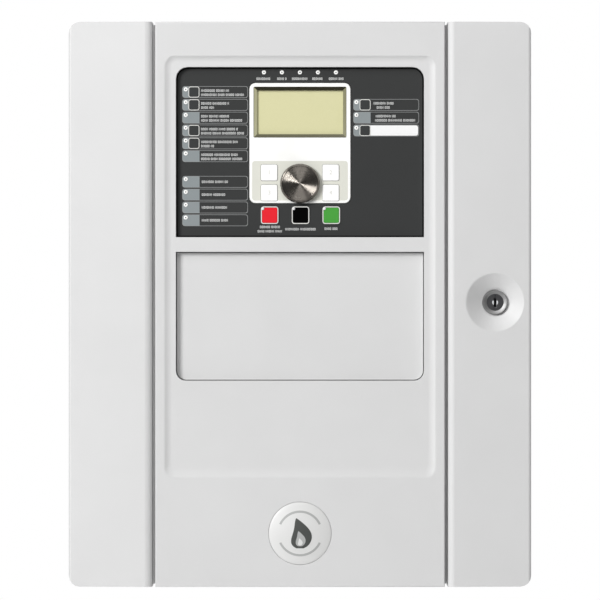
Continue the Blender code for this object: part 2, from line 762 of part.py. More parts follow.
def lock_cam():
    """The cam points up while the lock is open and turns to the right behind the keeper."""
    width, reach = 0.012, 0.0185
    zs = (LOCK_Z - width / 2, LOCK_Z + reach)
    body = block("lock_cam", span(LOCK_X, width), (-0.0655, -0.0635), zs, width / 2 - TINY)
    cut(body, block("square", span(LOCK_X, 0.0066), (-0.067, -0.062), span(LOCK_Z, 0.0066)))
    return move_origin(body, (LOCK_X, -0.0635, LOCK_Z))


# Assembly


def move_origin(body, point):
    """Puts an object's origin at a point and leaves its shape where it was."""
    body.data.transform(Matrix.Translation(-Vector(point)))
    body.location = point
    return body


def paint(body, colour_name):
    """Gives an object its own material, and smooth shading that keeps real edges."""
    colour, roughness, metallic = COLOURS[colour_name]
    material = bpy.data.materials.new(body.name)
    material.use_nodes = True
    shader = material.node_tree.nodes["Principled BSDF"]
    shader.inputs["Base Color"].default_value = (*colour, 1.0)
    shader.inputs["Roughness"].default_value = roughness
    shader.inputs["Metallic"].default_value = metallic
    body.data.materials.clear()
    body.data.materials.append(material)
    body.data.shade_smooth()
    body.data.set_sharp_from_angle(angle=math.radians(32))


def pivot(name, point, parent=None):
    """An empty on a joint's axis."""
    empty = bpy.data.objects.new(name, None)
    empty.location = point
    bpy.context.scene.collection.objects.link(empty)
    if parent:
        hang(parent, [empty])
    return empty


def hang(parent, pieces):
    """Parents pieces to an empty that is only moved, not turned, so that they stay in place."""
    for piece in pieces:
        piece.parent = parent
        piece.matrix_parent_inverse = Matrix.Translation(-parent.location)


def painted(pieces, colour_name):
    for piece in pieces:
        paint(piece, colour_name)
    return pieces


def build_cabinet():
    painted([back_box(), chassis_plate(), battery_clamp()], "cabinet_grey")
    painted([hinge_pin(place, z) for place, z in HINGE_ZS.items()] + [lock_keeper()], "steel")
    painted([entry_plug(number, x) for number, x in enumerate(ENTRY_XS, 1)], "black_rubber")
    painted([earth_stud()], "brass")
    painted([main_board()], "circuit_green")
    painted([terminal_block("left", -0.160), terminal_block("right", 0.010)], "terminal_green")
    painted([power_supply()], "steel")
    painted([battery("left", -0.154), battery("right", 0.003)], "black_plastic")


def build_door(door):
    hang(door, painted([door_frame()], "steel"))
    hang(door, painted([left_wing(), right_wing(), insert_panel()], "cabinet_grey"))
    hang(door, painted([centre_fascia()], "fascia_grey"))
    hang(door, painted([indicator_panel()], "overlay_charcoal"))
    hang(door, painted([display_bezel(), badge()], "white_plastic"))
    hang(door, painted([lcd_glass()], "lcd_olive"))
    hang(door, painted([lcd_module(), lock_nut()], "steel"))
    hang(door, painted([ui_board()], "circuit_green"))
    hang(door, painted([ui_rear_cover(), buzzer(), encoder_housing()], "black_plastic"))
    hang(door, painted(light_guides(), "lamp_clear"))
    hang(door, painted([lock_barrel()], "chrome"))


def build_keys(door):
    for made, colour_name in zip(big_keys(), ("key_red", "key_black", "key_green")):
        hang(door, painted([made], colour_name))
    hang(door, painted(function_keys(), "white_plastic"))
    hang(door, painted(small_keys(), "key_black"))


def build_dial(door):
    axis = pivot("encoder_axis", (0.0, BEZEL_FRONT, DIAL_Z), door)
    hang(axis, painted([encoder_rotor()], "black_plastic"))
    hang(axis, painted([encoder_shaft(), jog_dial()], "dial_metal"))


def build_lock(door):
    axis = pivot("lock_axis", (LOCK_X, LOCK_SEAT, LOCK_Z), door)
    hang(axis, painted([lock_plug()], "black_plastic"))
    hang(axis, painted([lock_cam()], "steel"))


def main():
    for existing in list(bpy.data.objects):
        bpy.data.objects.remove(existing)
    build_cabinet()
    door = pivot("door_axis", (HINGE_X, HINGE_Y, 0.0))
    build_door(door)
    build_keys(door)
    build_dial(door)
    build_lock(door)


main()
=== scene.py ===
"""Looks of a fire alarm control panel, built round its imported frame.

Metres, +Z up; the origin is the centre of the wall face and the front faces -Y, so a lower Y is further
forward. Visible CAD nodes are stood for by finer pieces with rounded edges, and everything has a
procedural finish. Prints are thin raised plates, and lettering is replaced with rows of plain marks.
Values that several sections share come first, and a section's own values stand in front of their use.
"""

import json
import math
import random

import bmesh
import bpy
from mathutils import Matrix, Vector

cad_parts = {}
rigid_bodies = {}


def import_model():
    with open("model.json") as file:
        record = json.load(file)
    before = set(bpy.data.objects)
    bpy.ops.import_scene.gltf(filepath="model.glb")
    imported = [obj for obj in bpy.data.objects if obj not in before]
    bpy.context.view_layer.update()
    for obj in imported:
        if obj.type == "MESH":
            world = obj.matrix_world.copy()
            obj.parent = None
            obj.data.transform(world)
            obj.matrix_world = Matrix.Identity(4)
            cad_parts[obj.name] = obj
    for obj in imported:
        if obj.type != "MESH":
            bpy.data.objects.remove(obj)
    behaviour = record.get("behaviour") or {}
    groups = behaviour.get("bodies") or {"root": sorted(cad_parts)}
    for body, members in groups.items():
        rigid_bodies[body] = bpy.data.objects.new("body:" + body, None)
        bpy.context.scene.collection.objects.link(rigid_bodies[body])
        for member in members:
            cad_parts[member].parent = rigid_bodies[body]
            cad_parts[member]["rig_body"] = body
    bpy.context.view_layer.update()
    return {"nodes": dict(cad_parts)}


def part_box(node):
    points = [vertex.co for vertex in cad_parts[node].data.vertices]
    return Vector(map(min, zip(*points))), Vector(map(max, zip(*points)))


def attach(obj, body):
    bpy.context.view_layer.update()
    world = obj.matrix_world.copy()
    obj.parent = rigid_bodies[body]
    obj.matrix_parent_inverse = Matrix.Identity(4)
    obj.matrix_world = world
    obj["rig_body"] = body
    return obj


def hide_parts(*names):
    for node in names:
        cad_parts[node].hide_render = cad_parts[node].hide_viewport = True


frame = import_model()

# Levels and places read from the frame
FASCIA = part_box("centre_fascia")
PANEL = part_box("indicator_panel")
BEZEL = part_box("display_bezel")
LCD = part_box("lcd_glass")
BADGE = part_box("badge")
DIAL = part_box("jog_dial")
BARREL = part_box("lock_barrel")
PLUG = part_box("lock_plug")
PANEL_FRONT = PANEL[0].y
BADGE_EDGE = 0.0002
BADGE_BOW = FASCIA[0].y - BADGE_EDGE - BADGE[0].y
BEZEL_FRONT = BEZEL[0].y


def middle(box):
    return (box[0] + box[1]) / 2


def centre_of(box):
    """X and Z of a box's middle."""
    return middle(box).x, middle(box).z


ZONE_KEYS = tuple(f"zone_key_{number}" for number in range(1, 7))
FUNCTION_KEYS = tuple(f"function_key_{number}" for number in range(1, 5))
BIG_KEYS = ("sounder_key", "silence_key", "reset_key")
KEY_BOXES = [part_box(name) for name in ZONE_KEYS]
BIG_KEY_BOXES = [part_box(name) for name in BIG_KEYS]
FIRST_ROW_Z = middle(KEY_BOXES[0]).z
ROW_PITCH = FIRST_ROW_Z - middle(KEY_BOXES[1]).z
LEFT_LAMP_X = middle(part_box("light_guide_left")).x
RIGHT_LAMP_X = middle(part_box("light_guide_right")).x
TOP_LAMP_Z = middle(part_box("light_guide_top")).z

# A print's thickness, and how meshes are cleaned and shaded
PRINT = 0.00006
SHADING_ANGLE = math.radians(32)
WELD = 0.00002
FLAT = math.radians(0.6)


# Procedural finishes


def linear(level):
    """The linear value of a display level from 0 to 255."""
    share = level / 255
    return share / 12.92 if share <= 0.04045 else ((share + 0.055) / 1.055) ** 2.4


def tone(red, green=None, blue=None):
    """A linear colour from display levels; one level gives a grey."""
    green, blue = (red, red) if green is None else (green, blue)
    return (linear(red), linear(green), linear(blue), 1.0)


def scaled(colour, by):
    return (*(min(channel * by, 1.0) for channel in colour[:3]), 1.0)


class Finish:
    """A material and short calls for its nodes. A value that is a socket is linked; any other is set."""

    def __init__(self, name, **sockets):
        self.material = bpy.data.materials.new(name)
        self.material.use_nodes = True
        self.tree = self.material.node_tree
        self.shader = self.tree.nodes["Principled BSDF"]
        for socket, value in sockets.items():
            self.shader.inputs[socket.replace("_", " ").title().replace("Ior", "IOR")].default_value = value

    def feed(self, socket, value):
        if isinstance(value, bpy.types.NodeSocket):
            self.tree.links.new(value, socket)
        else:
            socket.default_value = value

    def add(self, kind, inputs, output=0, **settings):
        node = self.tree.nodes.new("ShaderNode" + kind)
        for key, value in settings.items():
            setattr(node, key, value)
        for key, value in inputs.items():
            self.feed(node.inputs[key], value)
        return node.outputs[output]

    def where(self, stretch=(1.0, 1.0, 1.0), centre=(0.0, 0.0, 0.0)):
        """Object coordinates, which are the row frame's, moved to a centre and stretched."""
        place = self.add("TexCoord", {}, "Object")
        moved = self.add("VectorMath", {0: place, 1: centre}, operation="SUBTRACT")
        return self.add("VectorMath", {0: moved, 1: stretch}, operation="MULTIPLY")

    def along(self, where, axis):
        return self.add("SeparateXYZ", {"Vector": where}, axis)

    def noise(self, where, scale, detail=2.0):
        return self.add("TexNoise", {"Vector": where, "Scale": scale, "Detail": detail})

    def cells(self, where, scale, output="Distance", **settings):
        return self.add("TexVoronoi", {"Vector": where, "Scale": scale}, output, **settings)

    def ranged(self, value, start, end, low, high):
        inputs = {"Value": value, "From Min": start, "From Max": end, "To Min": low, "To Max": high}
        return self.add("MapRange", inputs)

    def maths(self, operation, first, second=0.0):
        return self.add("Math", {0: first, 1: second}, operation=operation)

    def mix(self, share, first, second):
        return self.add("Mix", {0: share, 6: first, 7: second}, 2, data_type="RGBA")

    def edges(self, radius):
        """1 on sharp outer and inner edges and 0 away from them."""
        rounded = self.add("Bevel", {"Radius": radius}, samples=3)
        plain = self.add("NewGeometry", {}, "Normal")
        alike = self.add("VectorMath", {0: rounded, 1: plain}, 1, operation="DOT_PRODUCT")
        return self.ranged(alike, 0.99, 0.86, 0.0, 1.0)

    def colour(self, value):
        self.feed(self.shader.inputs["Base Color"], value)

    def rough(self, value):
        self.feed(self.shader.inputs["Roughness"], value)

    def relief(self, height, distance, strength=1.0):
        normal = self.add("Bump", {"Strength": strength, "Distance": distance, "Height": height})
        self.feed(self.shader.inputs["Normal"], normal)


def coated(name, colour, roughness=0.45, grain=1300.0, depth=0.00002, wear=0.0, worn=None, **sockets):
    """Paint or moulded plastic: faint blotches, a fine grain and edges that have rubbed a little."""
    finish = Finish(name, **sockets)
    where = finish.where()
    blotches = finish.noise(where, 11.0, 4.0)
    cloud = finish.ranged(blotches, 0.3, 0.7, 0.0, 1.0)
    base = finish.mix(cloud, scaled(colour, 0.985), scaled(colour, 1.015))
    patches = finish.ranged(finish.noise(where, 160.0, 4.0), 0.42, 0.62, 0.0, wear)
    rubbed = finish.maths("MULTIPLY", finish.edges(0.0005), patches)
    finish.colour(finish.mix(rubbed, base, worn or scaled(colour, 1.12)))
    scuffs = finish.noise(where, 45.0, 5.0)
    finish.rough(finish.ranged(scuffs, 0.25, 0.75, roughness - 0.06, roughness + 0.07))
    finish.relief(finish.noise(where, grain, 3.0), depth)
    return finish.material


def brushed(name, colour, stretch, roughness=0.3, **sockets):
    """Metal with fine lines along the axis that stretch squeezes."""
    finish = Finish(name, metallic=1.0, **sockets)
    lines = finish.noise(finish.where(stretch), 900.0, 3.0)
    stains = finish.noise(finish.where(), 22.0, 4.0)
    base = finish.mix(finish.ranged(lines, 0.3, 0.7, 0.0, 1.0), scaled(colour, 0.88), scaled(colour, 1.1))
    finish.colour(finish.mix(finish.ranged(stains, 0.45, 0.8, 0.0, 0.35), base, scaled(colour, 0.7)))
    finish.rough(finish.ranged(lines, 0.2, 0.8, roughness - 0.07, roughness + 0.08))
    finish.relief(lines, 0.00002, 0.5)
    return finish.material


def spangled(name, colour, roughness=0.42):
    """Zinc-plated sheet: flat crystals of slightly different greys."""
    finish = Finish(name, metallic=0.9)
    where = finish.where()
    crystal = finish.cells(where, 210.0, "Color")
    value = finish.add("SeparateColor", {"Color": crystal})
    fine = finish.noise(where, 700.0, 3.0)
    finish.colour(finish.mix(value, scaled(colour, 0.93), scaled(colour, 1.05)))
    finish.rough(finish.ranged(value, 0.0, 1.0, roughness - 0.04, roughness + 0.05))
    finish.relief(fine, 0.00003, 0.4)
    return finish.material


def turned(name, colour, centre, roughness=0.3, pitch=0.0005, **sockets):
    """Metal faced on a lathe: rings round an axis along Y."""
    finish = Finish(name, metallic=1.0, **sockets)
    flat = finish.where((1.0, 0.0, 1.0), centre)
    reach = finish.add("VectorMath", {0: flat}, 1, operation="LENGTH")
    rings = finish.maths("SINE", finish.maths("MULTIPLY", reach, math.tau / pitch))
    stains = finish.noise(finish.where(), 160.0, 4.0)
    cloud = finish.ranged(stains, 0.3, 0.7, 0.0, 1.0)
    finish.colour(finish.mix(cloud, scaled(colour, 0.92), scaled(colour, 1.08)))
    finish.rough(finish.ranged(stains, 0.2, 0.8, roughness - 0.04, roughness + 0.05))
    finish.relief(rings, 0.00001, 0.5)
    tangent = finish.add("Tangent", {}, direction_type="RADIAL", axis="Y")
    finish.feed(finish.shader.inputs["Tangent"], tangent)
    return finish.material


def circuit(name):
    """Solder resist over copper: lighter right-angled tracks on green, with tinned dots."""
    finish = Finish(name, specular_ior_level=0.5)
    where = finish.where((1.0, 0.0, 1.0))
    cell = finish.cells(where, 130.0, distance="MANHATTAN", feature="F1")
    track = finish.ranged(finish.maths("PINGPONG", cell, 0.22), 0.17, 0.2, 0.0, 1.0)
    base = finish.mix(track, tone(14, 84, 50), tone(34, 122, 72))
    via = finish.ranged(finish.cells(where, 330.0), 0.12, 0.1, 0.0, 1.0)
    finish.colour(finish.mix(via, base, tone(196, 196, 184)))
    finish.rough(finish.ranged(track, 0.0, 1.0, 0.42, 0.3))
    finish.relief(track, 0.00004, 0.6)
    return finish.material


def display(name):
    """The LCD's face: a faint grid of cells under clear glass."""
    finish = Finish(name, coat_weight=0.35, coat_roughness=0.06, specular_ior_level=0.3)
    across = finish.along(finish.where(), "X")
    rise = finish.along(finish.where(), "Z")
    flat = finish.add("CombineXYZ", {"X": across, "Y": rise})
    grid = finish.add(
        "TexBrick",
        {
            "Vector": flat,
            "Color1": tone(218, 215, 172),
            "Color2": tone(215, 212, 168),
            "Mortar": tone(208, 205, 159),
            "Scale": 1.0,
            "Mortar Size": 0.00005,
            "Brick Width": 0.00062,
            "Row Height": 0.00062,
        },
        offset=0.0,
    )
    finish.colour(grid)
    finish.rough(finish.ranged(finish.noise(finish.where(), 60.0, 3.0), 0.3, 0.7, 0.3, 0.38))
    return finish.material


def lens(name, colour):
    """Clear moulding seen as a milky body under a glossy skin."""
    finish = Finish(name, coat_weight=0.8, coat_roughness=0.08, specular_ior_level=0.5)
    depth = finish.noise(finish.where(), 900.0, 3.0)
    finish.colour(finish.mix(depth, scaled(colour, 0.8), scaled(colour, 1.15)))
    finish.rough(finish.ranged(depth, 0.2, 0.8, 0.18, 0.32))
    return finish.material


def keypad(name, beige, white, low, high, corner):
    """The bezel's plastic: a warmer field with round lower corners between two heights, white round it."""
    finish = Finish(name)
    where = finish.where(centre=(0.0, 0.0, (low[1] + high[1]) / 2))
    across = finish.maths("ABSOLUTE", finish.along(where, "X"))
    up = finish.maths("ABSOLUTE", finish.along(where, "Z"))
    half = ((high[0] - low[0]) / 2 - corner, (high[1] - low[1]) / 2 - corner)
    past_x = finish.maths("MAXIMUM", finish.maths("SUBTRACT", across, half[0]))
    past_z = finish.maths("MAXIMUM", finish.maths("SUBTRACT", up, half[1]))
    reach = finish.add("CombineXYZ", {"X": past_x, "Y": past_z})
    distance = finish.add("VectorMath", {0: reach}, 1, operation="LENGTH")
    inside = finish.ranged(distance, corner + 0.0001, corner - 0.0001, 0.0, 1.0)
    plain = finish.where()
    blotches = finish.ranged(finish.noise(plain, 30.0, 4.0), 0.3, 0.7, 0.0, 1.0)
    field = finish.mix(inside, white, beige)
    finish.colour(finish.mix(finish.maths("MULTIPLY", blotches, 0.3), field, scaled(beige, 1.01)))
    finish.rough(finish.ranged(finish.noise(plain, 70.0, 4.0), 0.3, 0.7, 0.3, 0.4))
    grain = finish.noise(plain, 1600.0, 3.0)
    finish.relief(grain, 0.00001)
    return finish.material


WING_GREY = coated("wing_grey", tone(214), roughness=0.5, wear=0.25)
FASCIA_GREY = coated("fascia_grey", tone(212), roughness=0.5, wear=0.25)
INSERT_GREY = coated("insert_grey", tone(212), roughness=0.5, wear=0.25)
CABINET_GREY = coated("cabinet_grey", tone(198), roughness=0.55, grain=700.0, depth=0.00005, wear=0.5)
CHARCOAL = coated("overlay_charcoal", tone(50, 51, 51), 0.55, 2200.0, wear=0.1, specular_ior_level=0.25)
WHITE = coated("white_plastic", tone(252, 252, 250), 0.35)
BADGE_WHITE = coated("badge_white", tone(220, 220, 219), 0.4, grain=900.0, depth=0.00001)
FIELD_LOW, FIELD_HIGH, FIELD_CORNER = (-0.0436, 0.0945), (0.0436, 0.1305), 0.0027
FIELD_TONES = (tone(219, 219, 209), tone(255, 255, 254))
BEZEL_PLASTIC = keypad("bezel_plastic", *FIELD_TONES, FIELD_LOW, FIELD_HIGH, FIELD_CORNER)
RING_GREY = coated("ring_grey", tone(226, 226, 222), 0.45)
PRINT_LIGHT = coated("print_light", tone(222, 223, 222), 0.6)
PRINT_LINE = coated("print_line", tone(145, 147, 147), 0.6)
PRINT_TAB = coated("print_tab", tone(134, 141, 143), 0.6)
PRINT_WHITE = coated("print_white", tone(240), 0.5)
PRINT_MARK = coated("print_mark", tone(214, 214, 208), 0.6)
EMBLEM_DARK = coated("emblem_dark", tone(72, 74, 72), 0.45)
EMBLEM_GREY = coated("emblem_grey", tone(174, 175, 174), 0.45)
KEY_RED = coated("key_red", tone(227, 35, 47), 0.4, wear=0.1, specular_ior_level=0.2)
KEY_BLACK = coated("key_black", tone(2), 0.5, wear=0.1, worn=tone(26), specular_ior_level=0.03)
KEY_GREEN = coated("key_green", tone(72, 155, 62), 0.4, wear=0.1, specular_ior_level=0.2)
ZONE_KEY = coated("key_charcoal", tone(52, 54, 54), 0.5, wear=0.15, specular_ior_level=0.25)
LAMP = lens("lamp_clear", tone(96, 100, 98))
KEY_LAMP = lens("lamp_white", tone(255))
LCD_FACE = display("lcd_olive")
# Lit and shaded copies of one olive for the display bevel's four sides: painted shade, the top darkest and
# the left lightest, as if lit from the upper left
BEVEL_LEFT_PAINTED_SHADE = coated("bevel_left_painted_shade", tone(168, 166, 134), 0.4)
BEVEL_TOP_PAINTED_SHADE = coated("bevel_top_painted_shade", tone(46, 44, 32), 0.4, specular_ior_level=0.1)
BEVEL_RIGHT_PAINTED_SHADE = coated("bevel_right_painted_shade", tone(136, 134, 104), 0.4)
BEVEL_BOTTOM_PAINTED_SHADE = coated("bevel_bottom_painted_shade", tone(92, 90, 66), 0.4)
SPUN = {"anisotropic": 0.9, "anisotropic_rotation": 0.25}
DIAL_METAL = turned("dial_metal", tone(120, 115, 109), middle(DIAL), 0.27, **SPUN)
CHROME = turned("chrome", tone(158), middle(BARREL), 0.5, pitch=0.0007)
LOCK_BLACK = turned("lock_black", tone(100, 100, 102), middle(PLUG), 0.42, pitch=0.0006)
STEEL = brushed("steel", tone(178, 179, 181), (1.0, 0.03, 1.0))
ZINC = spangled("zinc_plate", tone(196, 198, 202))
BRASS = brushed("brass", tone(206, 168, 92), (1.0, 0.05, 1.0), 0.28)
BOARD = circuit("circuit_green")
TERMINAL = coated("terminal_green", tone(36, 142, 78), 0.4, wear=0.1)
BLACK_PLASTIC = coated("black_plastic", tone(34, 34, 36), 0.5, 900.0, 0.00004, wear=0.3, worn=tone(70))
TIN = brushed("tinned_metal", tone(206, 207, 208), (1.0, 0.2, 1.0), 0.32)
CAPACITOR = coated("capacitor_sleeve", tone(38, 46, 84), 0.35, wear=0.1)
LABEL = coated("label_plate", tone(206, 208, 210), 0.5)
RUBBER = coated("black_rubber", tone(42, 42, 43), 0.8, 500.0, depth=0.00006, wear=0.3, worn=tone(66))


# Shapes


def outline(xs, zs, corners=0.0, steps=5):
    """Points of a rounded rectangle in XZ; a tuple of corners starts lower left and runs anticlockwise."""
    corners = corners if isinstance(corners, tuple) else (corners,) * 4
    turns = ((0, 0, 180), (1, 0, 270), (1, 1, 0), (0, 1, 90))
    points = []
    for (side, top, start), corner in zip(turns, corners):
        x = xs[side] + (corner if side == 0 else -corner)
        z = zs[top] + (corner if top == 0 else -corner)
        for step in range(steps + 1 if corner else 1):
            angle = math.radians(start + 90 * step / steps)
            points.append((x + corner * math.cos(angle), z + corner * math.sin(angle)))
    return points


def bridge(mesh, first, second):
    """The faces between two closed loops of equally many corners."""
    faces = []
    for index in range(len(first)):
        after = (index + 1) % len(first)
        faces.append(mesh.faces.new((first[index], first[after], second[after], second[index])))
    return faces


def capped(mesh, first, second):
    """A closed body between two loops of corners."""
    bridge(mesh, first, second)
    mesh.faces.new(first)
    mesh.faces.new(second)


def prism(mesh, points, back, front):
    """A plate from back to front with an XZ outline."""
    capped(mesh, *([mesh.verts.new((x, y, z)) for x, z in points] for y in (back, front)))


def frame_of(mesh, outer, inner, back, front):
    """A flat ring between two XZ outlines that have equally many points."""
    loops = []
    for points in (outer, inner):
        loops += [[mesh.verts.new((x, y, z)) for x, z in points] for y in (back, front)]
    for first, second in ((0, 1), (1, 3), (3, 2), (2, 0)):
        bridge(mesh, loops[first], loops[second])


def lathe(mesh, profile, centre, steps=48):
    """A body turned round an axis along Y through an XZ centre, from (radius, Y) points."""
    rings = []
    for radius, level in profile:
        ring = []
        for index in range(steps if radius else 1):
            angle = math.tau * index / steps
            ring.append(mesh.verts.new((
                centre[0] + radius * math.cos(angle),
                level,
                centre[1] + radius * math.sin(angle),
            )))
        rings.append(ring)
    pairs = list(zip(rings, rings[1:]))
    if profile[0][0]:
        pairs.append((rings[-1], rings[0]))
    for low, high in pairs:
        for index in range(steps):
            after = index + 1
            below = (low[index % len(low)], low[after % len(low)])
            above = (high[after % len(high)], high[index % len(high)])
            mesh.faces.new(dict.fromkeys(below + above))


def around(centre, size):
    return (centre - size / 2, centre + size / 2)


def placed(name, data):
    thing = bpy.data.objects.new(name, data)
    bpy.context.scene.collection.objects.link(thing)
    return thing


def finished(name, mesh, finish, body, rounding=0.0, replaces=()):
    """A piece from a bmesh, riding on its body: smooth but for real edges, which a Bevel rounds."""
    bmesh.ops.recalc_face_normals(mesh, faces=mesh.faces)
    data = bpy.data.meshes.new(name)
    mesh.to_mesh(data)
    mesh.free()
    for material in finish if isinstance(finish, tuple) else (finish,):
        data.materials.append(material)
    data.shade_smooth()
    data.set_sharp_from_angle(angle=SHADING_ANGLE)
    piece = placed(name, data)
    if rounding:
        bevel = piece.modifiers.new("rounding", "BEVEL")
        bevel.width = rounding
        bevel.segments = 2
        bevel.limit_method = "ANGLE"
        bevel.angle_limit = SHADING_ANGLE
    normals = piece.modifiers.new("flat_faces", "WEIGHTED_NORMAL")
    normals.keep_sharp = True
    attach(piece, body)
    if replaces:
        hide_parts(*replaces)


def refined(node, finish, rounding):
    """A finer copy of a CAD node: flat faces merged, edges rounded, and a procedural finish."""
    source = frame["nodes"][node]
    mesh = bmesh.new()
    mesh.from_mesh(source.data)
    for layer in list(mesh.loops.layers.float_vector.values()):
        mesh.loops.layers.float_vector.remove(layer)
    bmesh.ops.remove_doubles(mesh, verts=mesh.verts, dist=WELD)
    bmesh.ops.dissolve_limit(mesh, angle_limit=FLAT, verts=mesh.verts, edges=mesh.edges)
    for face in mesh.faces:
        face.material_index = 0
    finished(node + "_fine", mesh, finish, source["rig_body"], rounding, (node,))


# Marks that stand for lettering

# Their height, and their other sizes as shares of it
CAP_HEIGHT = 0.0021
MARK_WIDTH = 0.56
MARK_STROKE = 0.15
MARK_GAP = 0.2
WORD_GAP = 0.4
MARKS_IN_GROUP = (4, 9)
PAIR_SHARE = 0.4


def word_marks(mesh, rng, xs, z):
    """A line of small open boxes and paired strokes between two X values, in groups; it spells nothing."""
    wide, stroke = CAP_HEIGHT * MARK_WIDTH, CAP_HEIGHT * MARK_STROKE
    low, high = z - CAP_HEIGHT / 2, z + CAP_HEIGHT / 2
    marks_left = rng.randint(*MARKS_IN_GROUP)
    x = xs[0]
    while x + wide < xs[1] + stroke:
        if rng.random() < PAIR_SHARE:
            for start in (x, x + wide - stroke):
                bar = outline((start, start + stroke), (low, high))
                prism(mesh, bar, PANEL_FRONT, PANEL_FRONT - PRINT)
        else:
            outer = outline((x, x + wide), (low, high))
            inner = outline((x + stroke, x + wide - stroke), (low + stroke, high - stroke))
            frame_of(mesh, outer, inner, PANEL_FRONT, PANEL_FRONT - PRINT)
        x += wide + CAP_HEIGHT * MARK_GAP
        marks_left -= 1
        if not marks_left:
            x += CAP_HEIGHT * WORD_GAP
            marks_left = rng.randint(*MARKS_IN_GROUP)


# CAD nodes

# Nodes that look alike, with their finish, their slot and the rounding of their edges
LOOKS = (
    (("back_box",), CABINET_GREY, "cabinet_grey", 0.0006),
    (("door_frame", "lcd_module"), ZINC, "steel", 0.0002),
    (("left_wing", "right_wing"), WING_GREY, "wing_grey", 0.0004),
    (("centre_fascia",), FASCIA_GREY, "fascia_grey", 0.0003),
    (("insert_panel",), INSERT_GREY, "insert_grey", 0.0003),
    (("indicator_panel",), CHARCOAL, "overlay_charcoal", 0.0001),
    (("display_bezel",), BEZEL_PLASTIC, "white_plastic", 0.0003),
    (("lcd_glass",), LCD_FACE, "lcd_olive", 0.0001),
    (("sounder_key",), KEY_RED, "key_red", 0.0002),
    (("silence_key",), KEY_BLACK, "key_black", 0.0002),
    (("reset_key",), KEY_GREEN, "key_green", 0.0002),
    (ZONE_KEYS, ZONE_KEY, "key_charcoal", 0.0001),
    (FUNCTION_KEYS, WHITE, "white_plastic", 0.0002),
    (("lock_plug",), LOCK_BLACK, "lock_black", 0.0003),
    (("lock_nut",), STEEL, "steel", 0.0003),
    (("lock_cam", "lock_keeper", "encoder_shaft"), STEEL, "steel", 0.0002),
    (("hinge_pin_upper", "hinge_pin_lower"), STEEL, "steel", 0.0002),
    (("entry_plug_1", "entry_plug_2", "entry_plug_3", "entry_plug_4"), RUBBER, "black_rubber", 0.0002),
    (("earth_stud",), BRASS, "brass", 0.0002),
    (("chassis_plate", "battery_clamp"), ZINC, "zinc_plate", 0.0003),
    (("power_supply",), ZINC, "steel", 0.0003),
    (("battery_left", "battery_right"), BLACK_PLASTIC, "black_plastic", 0.0004),
    (("terminal_block_left", "terminal_block_right"), TERMINAL, "terminal_green", 0.0002),
    (("main_board", "ui_board"), BOARD, "circuit_green", 0.0),
    (("ui_rear_cover",), BLACK_PLASTIC, "black_plastic", 0.0005),
    (("buzzer", "encoder_housing", "encoder_rotor"), BLACK_PLASTIC, "black_plastic", 0.0002),
    (("light_guide_top", "light_guide_left", "light_guide_right"), LAMP, "lamp_clear", 0.0),
    (("light_guide_keys",), KEY_LAMP, "lamp_clear", 0.0),
)


def refine_nodes():
    for nodes, finish, slot, rounding in LOOKS:
        for node in nodes:
            refined(node, finish, rounding)


# Operator panel

ROW_HEIGHT = 0.0105
LEFT_ROWS_X = (-0.1072, -0.0475)
RIGHT_ROWS_X = (0.0486, 0.1083)
TAB_WIDTH = 0.0157
STRIP_X = (0.0639, 0.1075)
STRIP_HEIGHT = 0.0093
LINE = 0.00035
LAMP_LIFT = 0.00245
TOP_LAMP_PITCH = 0.0164
# A lamp ring's outline, as radii and how far they stand proud of the panel
LAMP_RING = (
    (0.0006, 0.0),
    (0.0006, 0.0004),
    (0.0009, 0.0006),
    (0.0016, 0.0005),
    (0.0019, 0.0002),
    (0.0019, 0.0),
)
# The keys' rings: inner and outer sizes and corners, and how far they stand proud
ZONE_RING = (0.0088, 0.0100)
ZONE_RING_CORNERS = (0.0015, 0.0021)
ZONE_RING_PROUD = 0.0003
BIG_RING_GAP = 0.0003
BIG_RING_WIDTH = 0.0008
BIG_RING_CORNERS = (0.0016, 0.0024)
BIG_RING_PROUD = 0.0011
BEVEL_GAP = 0.0001
BEVEL_WIDTH = 0.0028
BEVEL_FALL = 0.0007
LENS_OFFSET = (-0.0063, 0.0060)
LENS_RADIUS = 0.00125
PANEL_CORNER = 0.0106
# Widths of the painted shadow lines: a black one along the overlay's edge and a dark one round the insert
# panel
PANEL_PAINTED_SHADOW = 0.0011
INSERT_CORNER = 0.0088
INSERT_PAINTED_SHADOW = 0.00045
EDGE_INSET = 0.00015
ROW_CORNERS = (0.0024, 0.0020, 0.0020, 0.0024)
TAB_CORNERS = (0.0024, 0.0, 0.0, 0.0024)
LEFT_ROWS = (0, 1, 2, 3, 4, 5, 7, 8, 9, 10)
RIGHT_ROWS = (1, 2, 3)
DIGIT_SIZE = 0.0052


def row_z(row):
    return FIRST_ROW_Z - ROW_PITCH * row


def tab_end(xs, row):
    """Where a row's tab stops: under its key's ring, or at the tab's full width in a row without a key."""
    for box in KEY_BOXES:
        place = middle(box)
        if xs[0] < place.x < xs[1] and abs(place.z - row_z(row)) < ROW_PITCH / 2:
            return place.x - (ZONE_RING[0] + ZONE_RING[1]) / 4
    return xs[0] + TAB_WIDTH


def add_row_prints():
    """The outlined rows beside the lamps, with a grey tab behind each lamp."""
    lines, tabs = bmesh.new(), bmesh.new()
    rows = [(LEFT_ROWS_X, row) for row in LEFT_ROWS] + [(RIGHT_ROWS_X, row) for row in RIGHT_ROWS]
    for xs, row in rows:
        zs = around(row_z(row), ROW_HEIGHT)
        inner_zs = (zs[0] + LINE, zs[1] - LINE)
        inner = outline((xs[0] + LINE, xs[1] - LINE), inner_zs, ROW_CORNERS)
        frame_of(lines, outline(xs, zs, ROW_CORNERS), inner, PANEL_FRONT, PANEL_FRONT - PRINT)
        tab = outline((xs[0] + LINE, tab_end(xs, row)), inner_zs, TAB_CORNERS)
        prism(tabs, tab, PANEL_FRONT, PANEL_FRONT - PRINT / 2)
    finished("row_lines", lines, PRINT_LINE, "door")
    finished("row_tabs", tabs, PRINT_TAB, "door")


